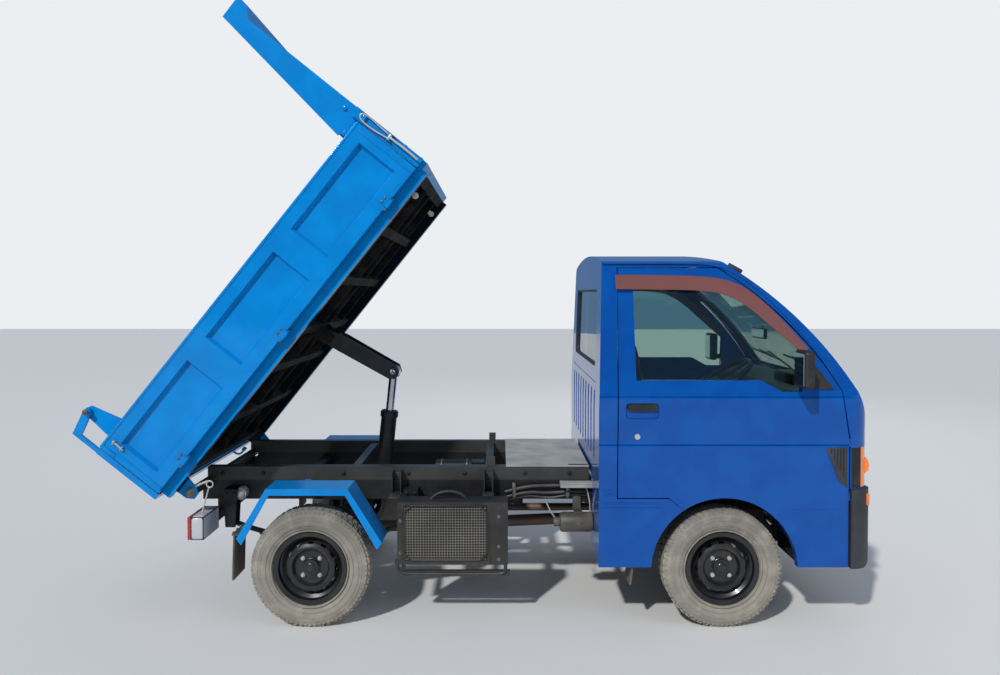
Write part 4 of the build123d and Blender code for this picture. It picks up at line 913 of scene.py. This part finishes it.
def wiper(y_pivot, y_far, name):
    "Arm and blade that lie along the foot of the windshield"
    y_tip = y_pivot + (y_far - y_pivot) * ARM_REACH
    pivot, _ = skin("front_panel", (FRONT + 0.625, y_pivot, 1.5), (0, 0, -1))
    rest, out = ahead("cab_glass", y_tip, 1.185)
    foot = rod(pivot - Vector((0, 0, 0.01)), pivot + Vector((0, 0, 0.024)), 0.014, 20, 0.003, 0.01)
    arm = pipe([pivot + Vector((0, 0, 0.018)), pivot + Vector((0.006, (y_tip - y_pivot) * 0.3, 0.055)),
                rest + out * 0.034], 0.0045, False)
    blade = []
    for i in range(6):
        y = y_tip + (i / 5 - 0.5) * BLADE * (1 if y_far > y_pivot else -1)
        place, normal = ahead("cab_glass", y, 1.165 + 0.04 * i / 5)
        blade.append(place + normal * 0.009)
    rubber = pipe(blade, 0.0045)
    spine = pipe([p + out * 0.01 for p in blade[1:5]], 0.003)
    clip = pipe([rest + out * 0.036, rest + out * 0.012], 0.006, False)
    keep([foot, arm, rubber, spine, clip], name, "black_plastic", smooth=60)


wiper(-0.44, -0.02, "wiper_right")
wiper(0.1, 0.52, "wiper_left")

pair(front.block((0.3005, -0.83, 1.134), (0.303, -0.72, 1.275), 0.001, 1), "mirror_glass", "black_plastic",
          "mirror_face", "door")
keep(front.rod((0.035, -0.592, 1.672), (0.098, -0.602, 1.64), 0.013, 16, 0.004, 0.009), "aerial",
     "black_plastic", smooth=60)
print("front pieces done")


# %% [markdown]
# ## Inside the cab
# Seen through the glass: two padded seats, the mirror, sun visors, the gear lever, the hand brake and pedals.

# %% Seats
PINCH, CROWN = 0.1, 0.34  # how far a pad's corners draw in and its top rises, as shares
CHANNEL_DEEP, CHANNEL_HALF = 0.16, 0.09


def seat_pad(low, high, name, channels=()):
    "Crowned cushion between two corners; channels are sewn lines across it, as shares of its length"
    low, high = Vector(low), Vector(high)
    ob = fresh(bpy.ops.mesh.primitive_cube_add, size=2)
    edit((bpy.ops.mesh.subdivide, {"number_cuts": 15, "smoothness": 0}))
    half = (high - low) / 2
    for vertex in ob.data.vertices:
        p = vertex.co.copy()
        off_x, off_y = [1 - PINCH * (abs(p[a]) ** 4) * (abs(p[b]) ** 4) for a, b in ((1, 2), (0, 2))]
        crown = 1 - CROWN * (1 - (1 - p.x ** 4) * (1 - p.y ** 4))
        z = p.z * (crown if p.z > 0 else 1)
        for share in channels:
            z -= CHANNEL_DEEP * max(0, 1 - abs(p.x - (share * 2 - 1)) / CHANNEL_HALF) * (1 if p.z > 0 else 0)
        vertex.co = Vector((p.x * off_x * half.x, p.y * off_y * half.y, z * half.z))
    modified(ob, "SUBSURF", levels=1)
    return keep(ob, name, "seat_fabric", place=Matrix.Translation((low + high) / 2), smooth=60)


def stand(ob, x, y, z, tilt):
    "Turn a pad that was made flat round Y and set it at its place, x from the front axle"
    ob.data.transform(Matrix.Translation(front.at(x, y, z)) @ Matrix.Rotation(radians(tilt), 4, "Y"))


pads = []
for side, y in (("right", -0.355), ("left", 0.355)):
    base = seat_pad(front.at(-0.37, y - 0.225, 0.662), front.at(0.12, y + 0.225, 0.802), "seat_cushion_" + side,
                    (0.3, 0.52, 0.74))
    back = seat_pad((-0.25, -0.212, -0.058), (0.25, 0.212, 0.058), "seat_back_" + side, (0.28, 0.5, 0.72))
    stand(back, -0.392, y, 1.055, -101.5)
    head = seat_pad((-0.068, -0.118, -0.038), (0.068, 0.118, 0.038), "headrest_" + side)
    stand(head, -0.452, y, 1.372, -95)
    posts = [front.rod((-0.452, y + d, 1.27), (-0.452, y + d, 1.335), 0.006, 12, 0.001) for d in (-0.05, 0.05)]
    keep(posts, "headrest_posts_" + side, "rod_chrome", "bare_steel")
    pads += [base, back, head]
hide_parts("seats")
print("pads", len(pads))

# %% Cabin
mirror = [front.rod((0.4, 0, 1.37), (0.385, 0, 1.335), 0.006, 12),
          front.block((0.368, -0.105, 1.298), (0.388, 0.105, 1.356), 0.009, 3)]
keep(mirror, "cabin_mirror", "black_plastic")
keep(front.block((0.3668, -0.098, 1.305), (0.3682, 0.098, 1.349), 0.0006, 1), "cabin_mirror_face",
     "black_plastic", "mirror_face")
for side, y in (("right", -0.28), ("left", 0.28)):
    keep(front.block((-0.09, y - 0.2, 1.608), (0.05, y + 0.2, 1.624), 0.007, 3), "sun_visor_" + side, "dash_grey")
lever = [front.rod((0.02, 0, 0.66), (0.05, 0, 0.9), 0.007, 12),
         front.rod((0.049, 0, 0.89), (0.055, 0, 0.945), 0.02, 20, 0.008),
         front.rod((0.018, 0, 0.655), (0.028, 0, 0.72), 0.05, 24, 0.01, 0.02)]
keep(lever, "gear_lever", "black_plastic")
brake = [front.rod((-0.22, 0.05, 0.69), (-0.04, 0.05, 0.78), 0.01, 12),
         front.rod((-0.1, 0.05, 0.75), (-0.02, 0.05, 0.79), 0.015, 16, 0.005),
         front.block((-0.25, 0.035, 0.658), (-0.17, 0.065, 0.7), 0.006)]
keep(brake, "hand_brake", "black_plastic")
pedals = []
for y in (-0.47, -0.36, -0.25):
    pedals += [front.pipe([(0.56, y, 0.72), (0.55, y, 0.6), (0.5, y, 0.52)], 0.007, False),
               front.block((0.485, y - 0.028, 0.49), (0.5, y + 0.028, 0.55), 0.004)]
keep(pedals, "pedals", "black_plastic")
keep(front.block((0.372, -0.5, 1.095), (0.48, -0.23, 1.155), 0.02, 3), "instrument_hood", "dash_grey",
     "black_plastic")
print("cabin pieces done")


# %% [markdown]
# ## Bed
# Clamps, hinge pins, bolts and hooks, all placed as the bed lies flat (x from the rear axle) and then raised.
# What sits on the flank measures y from there.

# %% Bed fittings
BED_REAR, BED_FRONT = -0.628, 1.316
GATE_LOW, GATE_TOP = 0.71, 1.05
HINGES = (-0.43, 0.3, 1.06)


def bed_pair(ob, name, look=None, smooth=35, body="bed", slot="bed_blue"):
    "A piece of the lowered bed's right side and its mirror, raised with the bed"
    pair(ob, name, slot, look, body, RAISE, smooth)


loop = panel.pipe([(x, -0.012, z) for x, z in (
    (1.29, 0.88), (1.276, 0.96), (1.276, 1.03), (1.288, 1.052), (1.302, 1.052), (1.312, 1.03),
    (1.308, 0.95), (1.304, 0.88))], 0.0038)
lever = panel.pipe([(1.297, -0.012, 0.892), (1.297, -0.018, 0.86), (1.3, -0.022, 0.78),
                       (1.296, -0.02, 0.725)], 0.0055)
hook = panel.block((1.279, -0.014, 1.022), (1.306, 0.004, 1.04), 0.004)
barrel = panel.rod((1.282, -0.012, 0.888), (1.312, -0.012, 0.888), 0.008, 16, 0.002)
ears = [panel.block((x, -0.02, 0.868), (x + 0.004, 0.004, 0.906), 0.002) for x in (1.28, 1.311)]
bed_pair([loop, lever, barrel], "front_clamp", "bright_wire", 60)
bed_pair([hook, *ears], "front_clamp_ears")

edges = [panel.block((x, -0.0035, 0.716), (x + 0.005, 0.002, 1.075), 0.0015, 1) for x in (1.272, 1.308)]
bed_pair(edges, "post_edges")
bracket = rear.blocks(((1.312, -0.64, 0.722), (1.322, -0.56, 0.732), 0.003),
                      ((1.312, -0.64, 0.812), (1.322, -0.56, 0.824), 0.003),
                      ((1.312, -0.575, 0.725), (1.321, -0.565, 0.82), 0.002))
bed_pair(bracket, "front_wall_bracket")


def gate_trim():
    "End flange with its corner, top rail edge, crease ahead and lower edge of a side gate"
    start, end = BED_REAR + 0.004, BED_FRONT - 0.053
    rows = [(start, start + 0.03, -0.0035, 0.002, GATE_LOW + 0.002, GATE_TOP - 0.08, 0.0018),
            (start, start + 0.02, -0.006, 0.002, GATE_TOP - 0.085, GATE_TOP - 0.004, 0.002),
            (start + 0.002, end - 0.002, -0.003, 0.004, GATE_TOP - 0.012, GATE_TOP + 0.001, 0.0028),
            (end - 0.032, end - 0.025, -0.004, 0.002, GATE_LOW + 0.004, GATE_TOP - 0.02, 0.0025),
            (start + 0.034, end - 0.002, -0.003, 0.003, GATE_LOW + 0.001, GATE_LOW + 0.006, 0.002, 1)]
    return panel.blocks(*[((x0, y0, z0), (x1, y1, z1), *how) for x0, x1, y0, y1, z0, z1, *how in rows])


bed_pair(gate_trim(), "gate_trim", body="side_gate")
latch = panel.pipe([(-0.562, -0.008, 1.018), (-0.566, -0.008, 0.955)], 0.0052, False)
eyes = [panel.block((-0.574, -0.016, z), (-0.554, 0.002, z + 0.006), 0.002) for z in (0.962, 1.006)]
bed_pair([latch, *eyes], "gate_latch_rod", "bright_wire", 60, "side_gate")


def hinge_trim(x):
    "Worn parts of one hinge: pin head, clip and two rivets on the strap"
    head = panel.rod((x - 0.036, -0.005, 0.704), (x - 0.029, -0.005, 0.704), 0.009, 20, 0.002)
    clip = panel.pipe([(x + 0.029, -0.017, 0.712), (x + 0.032, -0.005, 0.704), (x + 0.029, -0.001, 0.692)],
                         0.0022)
    rivets = [panel.rod((x + d, -0.002, 0.736), (x + d, -0.0075, 0.736), 0.006, 16, 0.002)
              for d in (-0.01, 0.01)]
    return join(head, clip, *rivets)


bed_pair([hinge_trim(x) for x in HINGES], "hinge_pins", "bare_steel", 60)
bolts = [rear.bolt((x, -0.6505, z), 0.01, 0.009)
         for x, z in ((1.277, 1.066), (1.188, 1.069), (1.277, 1.14))]
bed_pair(bolts, "guard_bolts")

# upright stiffeners and the rolled top edge of the guard's sheet
ribs = [rear.block((1.3165, y - 0.018, 1.1), (1.327, y + 0.018, 1.48), 0.004) for y in (-0.4, 0, 0.4)]
lip = rear.pipe([(1.369, -0.645, 1.832), (1.369, 0.645, 1.832)], 0.005, False)
keep([*ribs, lip], "guard_ribs", "bed_blue", None, "bed", RAISE)

pin = [rear.rod((-0.541, -0.688, 1.197), (-0.541, -0.694, 1.197), 0.0135, 24, 0.002),
       rear.rod((-0.541, -0.692, 1.197), (-0.541, -0.697, 1.197), 0.006, 16, 0.001)]
bed_pair(pin, "tailgate_pin_caps", "bare_steel")
pivot = [rear.rod((-0.57, -0.5985, 0.61), (-0.57, -0.6045, 0.61), 0.024, 28, 0.002),
         rear.bolt((-0.57, -0.606, 0.61), 0.012, 0.006)]
pair(pivot, "pivot_nuts", "chassis_black", "bare_steel")
hooks = []
for y in (-0.42, 0.42):
    hooks += [rear.pipe([(-0.612, y, 0.674), (-0.64, y, 0.668), (-0.668, y, 0.684), (-0.67, y, 0.716)], 0.006),
              rear.block((-0.628, y - 0.014, 0.664), (-0.606, y + 0.014, 0.684), 0.003)]
keep(hooks, "tailgate_hooks", "bed_blue", None, "bed", RAISE, 60)

buffer = [rear.rod((1.172, -0.432, 0.676), (1.172, -0.446, 0.676), 0.016, 28, 0.003),
          rear.rod((1.172, -0.44, 0.676), (1.172, -0.449, 0.676), 0.006, 16, 0.001),
          rear.block((1.16, -0.434, 0.676), (1.184, -0.422, 0.7), 0.002)]
bed_pair(buffer, "bed_buffers", "white_rubber", slot="chassis_black")
print("bed fittings done")


# %% [markdown]
# ## Chassis
# The mesh-fronted box with its tube guard, then the lines and the small tank ahead of it.

# %% Mesh box
box = Station(REAR + 0.396, -0.612)
MESH_PITCH = 0.0125


def wire_mesh():
    "Crossed wires over the box's opening"
    x0, x1, z0, z1 = 0.034, 0.416, 0.299, 0.548
    wires = []
    for end, y, span, dx, dz in (((x0, z1), 0.004, x1 - x0, MESH_PITCH, 0),
                                 ((x1, z0), 0.0065, z1 - z0, 0, MESH_PITCH)):
        wire = box.rod((x0, y, z0), (end[0], y, end[1]), 0.0019, 6, 0)
        wires += [twin(wire, Matrix.Translation((i * dx, 0, i * dz))) for i in range(int(span / MESH_PITCH) + 1)]
        bpy.data.objects.remove(wire)
    return wires


keep(wire_mesh(), "condenser_mesh", "black_plastic", "mesh_grey", smooth=60)
fins = [box.block((0.034, 0.0105, 0.3 + i * 0.0166), (0.416, 0.0125, 0.308 + i * 0.0166), 0.0005, 1)
        for i in range(15)]
keep(fins, "condenser_fins", "black_plastic")


def mesh_frame():
    "Frame of the opening with its cut corners, and the seam of the plain end"
    x0, x1, z0, z1, r = 0.03, 0.42, 0.295, 0.552, 0.035
    corners = [(x0 + r, z0), (x1 - r, z0), (x1, z0 + r), (x1, z1 - r), (x1 - r, z1), (x0 + r, z1), (x0, z1 - r),
               (x0, z0 + r), (x0 + r, z0)]
    return [box.pipe([(x, -0.001, z) for x, z in corners], 0.0045, False),
            box.block((0.432, -0.002, 0.282), (0.436, 0.002, 0.562), 0.001, 1)]


keep(mesh_frame(), "condenser_frame", "black_plastic", smooth=60)
bolts = [box.bolt((x, 0, z), 0.006, 0.005)
         for x, z in ((0.014, 0.48), (0.014, 0.33), (0.474, 0.5), (0.474, 0.36), (0.474, 0.3))]
keep(bolts, "condenser_bolts", "black_plastic", "bare_steel")
arc = box.pipe([(x, 0.06, z) for x, z in (
    (0.15, 0.56), (0.165, 0.585), (0.22, 0.606), (0.28, 0.6), (0.32, 0.575), (0.325, 0.555))], 0.009)
keep(arc, "condenser_pipe", "black_plastic", "seal_rubber", smooth=60)
guard = box.pipe([(x, 0.004, z) for x, z in (
    (-0.002, 0.3), (0, 0.262), (0.012, 0.24), (0.045, 0.231), (0.25, 0.23), (0.46, 0.23), (0.496, 0.234),
    (0.506, 0.25), (0.505, 0.282))], 0.0085)
keep(guard, "condenser_guard_tube", "black_plastic", "satin_grey", smooth=60)
hangers = []
for x in (0.345, 0.795):
    hangers += [rear.block((x + d, -0.43, 0.56), (x + d + 0.005, -0.366, 0.668), 0.002) for d in (0, 0.042)]
    hangers += [rear.block((x, -0.374, 0.575), (x + 0.046, -0.366, 0.655), 0.002),
                rear.block((x - 0.004, -0.52, 0.56), (x + 0.051, -0.4, 0.567), 0.002)]
keep(hangers, "condenser_hangers", "black_plastic", "satin_grey")
print("mesh box done")

# %% Lines and small parts ahead of the box
lines = []
for i, (y, z) in enumerate(((-0.385, 0.59), (-0.392, 0.566), (-0.378, 0.548))):
    lines.append(rear.pipe([(0.9, y, z - 0.03), (1, y - 0.006, z), (1.12, y + 0.004, z - 0.012 * i),
                            (1.24, y - 0.01, z + 0.006), (1.335, y + 0.004, z - 0.01)], 0.0085 - 0.0018 * i))
clips = [rear.block((x, -0.402, 0.535), (x + 0.018, -0.3655, 0.606), 0.004) for x in (0.935, 1.2)]
keep(lines, "rail_lines", "chassis_black", "canister_grey", smooth=60)
keep(clips, "rail_line_clips", "chassis_black", "bare_steel")

canister = [rear.rod((1.165, -0.455, 0.432), (1.325, -0.455, 0.432), 0.048, 36, 0.012),
            rear.rod((1.135, -0.455, 0.432), (1.17, -0.455, 0.432), 0.022, 24, 0.004),
            rear.block((1.235, -0.475, 0.47), (1.275, -0.366, 0.486), 0.004),
            rear.block((1.235, -0.38, 0.47), (1.275, -0.3655, 0.6), 0.004)]
keep(canister, "canister", "chassis_black", "canister_grey")
step = rear.blocks(((1.17, -0.44, 0.604), (1.335, -0.366, 0.612), 0.003),
                   ((1.17, -0.44, 0.592), (1.335, -0.434, 0.612), 0.002))
keep(step, "side_step", "chassis_black", "deck_steel")
# a thin dark plate on the deck stands in for the slot's opening: painted shade
keep(rear.block((1.215, -0.345, 0.684), (1.315, -0.325, 0.6862), 0.0008, 1), "deck_slot_painted_shade", "deck_steel",
     "dark_gap")
cable = rear.pipe([(x, -0.4, z) for x, z in (
    (1.3, 0.585), (1.322, 0.511), (1.313, 0.427), (1.264, 0.378), (1.191, 0.388), (1.128, 0.452),
    (1.1, 0.52))], 0.0034)
keep(cable, "rail_cable", "chassis_black", "bright_wire", smooth=60)

# %% Pump, tank, bolts and springs
hoses = [rear.pipe([(x, y - d, z) for x, y, z in (
    (0.735, -0.235, 0.622), (0.66, -0.262, 0.575), (0.5, -0.245, 0.552), (0.34, -0.16, 0.532),
    (0.262, -0.07, 0.53))], 0.009) for d in (0, 0.024)]
union = rear.rod((0.755, -0.236, 0.624), (0.722, -0.236, 0.62), 0.014, 6, 0.002)
keep(hoses, "pressure_lines", "hoist_black", "seal_rubber", smooth=60)
keep(union, "pressure_unions", "hoist_black", "bare_steel")
bands = []
for x in (0.575, 0.705):
    bands.append(ring(0.0368, 0, 0.004, 0.006, 40))
    bands[-1].data.transform(Matrix.Translation(rear.at(x, -0.205, 0.645)) @ Matrix.Rotation(radians(90), 4, "Z"))
keep(bands, "pump_bands", "hoist_black", "bare_steel")

(_, inner, bottom), (_, outer, top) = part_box("fuel_tank")
straps = [rear.pipe([(x, outer + 0.001, top - 0.03), (x, outer + 0.001, bottom + 0.03),
                     (x, outer - 0.03, bottom - 0.001), (x, inner + 0.03, bottom - 0.001)], 0.006, False)
          for x in (0.6, 0.88)]
tank_cap = rear.rod((0.93, outer - 0.002, 0.5), (0.93, outer + 0.024, 0.5), 0.028, 32, 0.004)
keep([*straps, tank_cap], "tank_straps_and_cap", "chassis_black", smooth=60)

bolts = [rear.bolt((x, -0.365, 0.648), 0.008, 0.007)
         for x in (-0.5, -0.3, 0.1, 0.42, 0.7, 1, 1.22)]
bolts += [rear.bolt((x, -0.4425, 0.567), 0.007, 0.006) for x in (-0.46, -0.42, 0.42, 0.46)]
pair(bolts, "frame_bolts", "chassis_black")

clips = []
for x in (-0.055, 0.055):
    clips += [rear.pipe([(x, y, 0.245), (x, y, 0.35)], 0.006, False) for y in (-0.44, -0.376)]
    clips.append(rear.block((x - 0.012, -0.446, 0.345), (x + 0.012, -0.37, 0.357), 0.003))
pair(clips, "spring_clips", "chassis_black")
print("chassis pieces done")


# %% [markdown]
# ## Tail
# Each tail lamp has a clear body ahead of its red lens. A round grey lamp and a release rod hang beside it.

# %% Tail pieces
pair(rear.block((-0.557, -0.6425, 0.3975), (-0.4935, -0.4375, 0.5075), 0.014, 3), "tail_lamp_bodies",
          "black_plastic", "lamp_white")
splits = [rear.block((-0.5735, y - 0.0015, 0.402), (-0.5705, y + 0.0015, 0.503), 0.0006, 1)
          for y in (-0.575, -0.51)]
pair(splits, "tail_lens_splits", "lamp_red", "dark_gap")
pair(rear.block((-0.5755, -0.508, 0.404), (-0.569, -0.446, 0.501), 0.003), "tail_amber_lens", "lamp_red",
          "amber_plain")
drum = [rear.rod((-0.398, -0.365, 0.558), (-0.398, -0.42, 0.558), 0.03, 36, 0.006),
        rear.rod((-0.398, -0.416, 0.558), (-0.398, -0.436, 0.558), 0.03, 36, 0.012, 0.012)]
keep(drum, "rail_drum", "chassis_black", "bright_wire")
eye = ring(0.015, 0, 0.0035, 0.0035, 32)
eye.data.transform(Matrix.Translation(rear.at(-0.48, -0.6, 0.65)))
release = [rear.pipe([(-0.519, -0.6, 0.503), (-0.5, -0.6, 0.58), (-0.484, -0.6, 0.634)], 0.0035), eye,
           rear.pipe([(-0.56, -0.59, 0.632), (-0.52, -0.596, 0.655), (-0.486, -0.6, 0.664)], 0.006)]
keep(release, "release_rod", "chassis_black", "bright_wire", smooth=60)
bolts = [rear.bolt((-0.3525, y, 0.436), 0.006, 0.005, (-1, 0, 0)) for y in (-0.655, -0.6, -0.545)]
pair(bolts, "flap_bolts", "flap_rubber", "bare_steel")
print("tail pieces done")
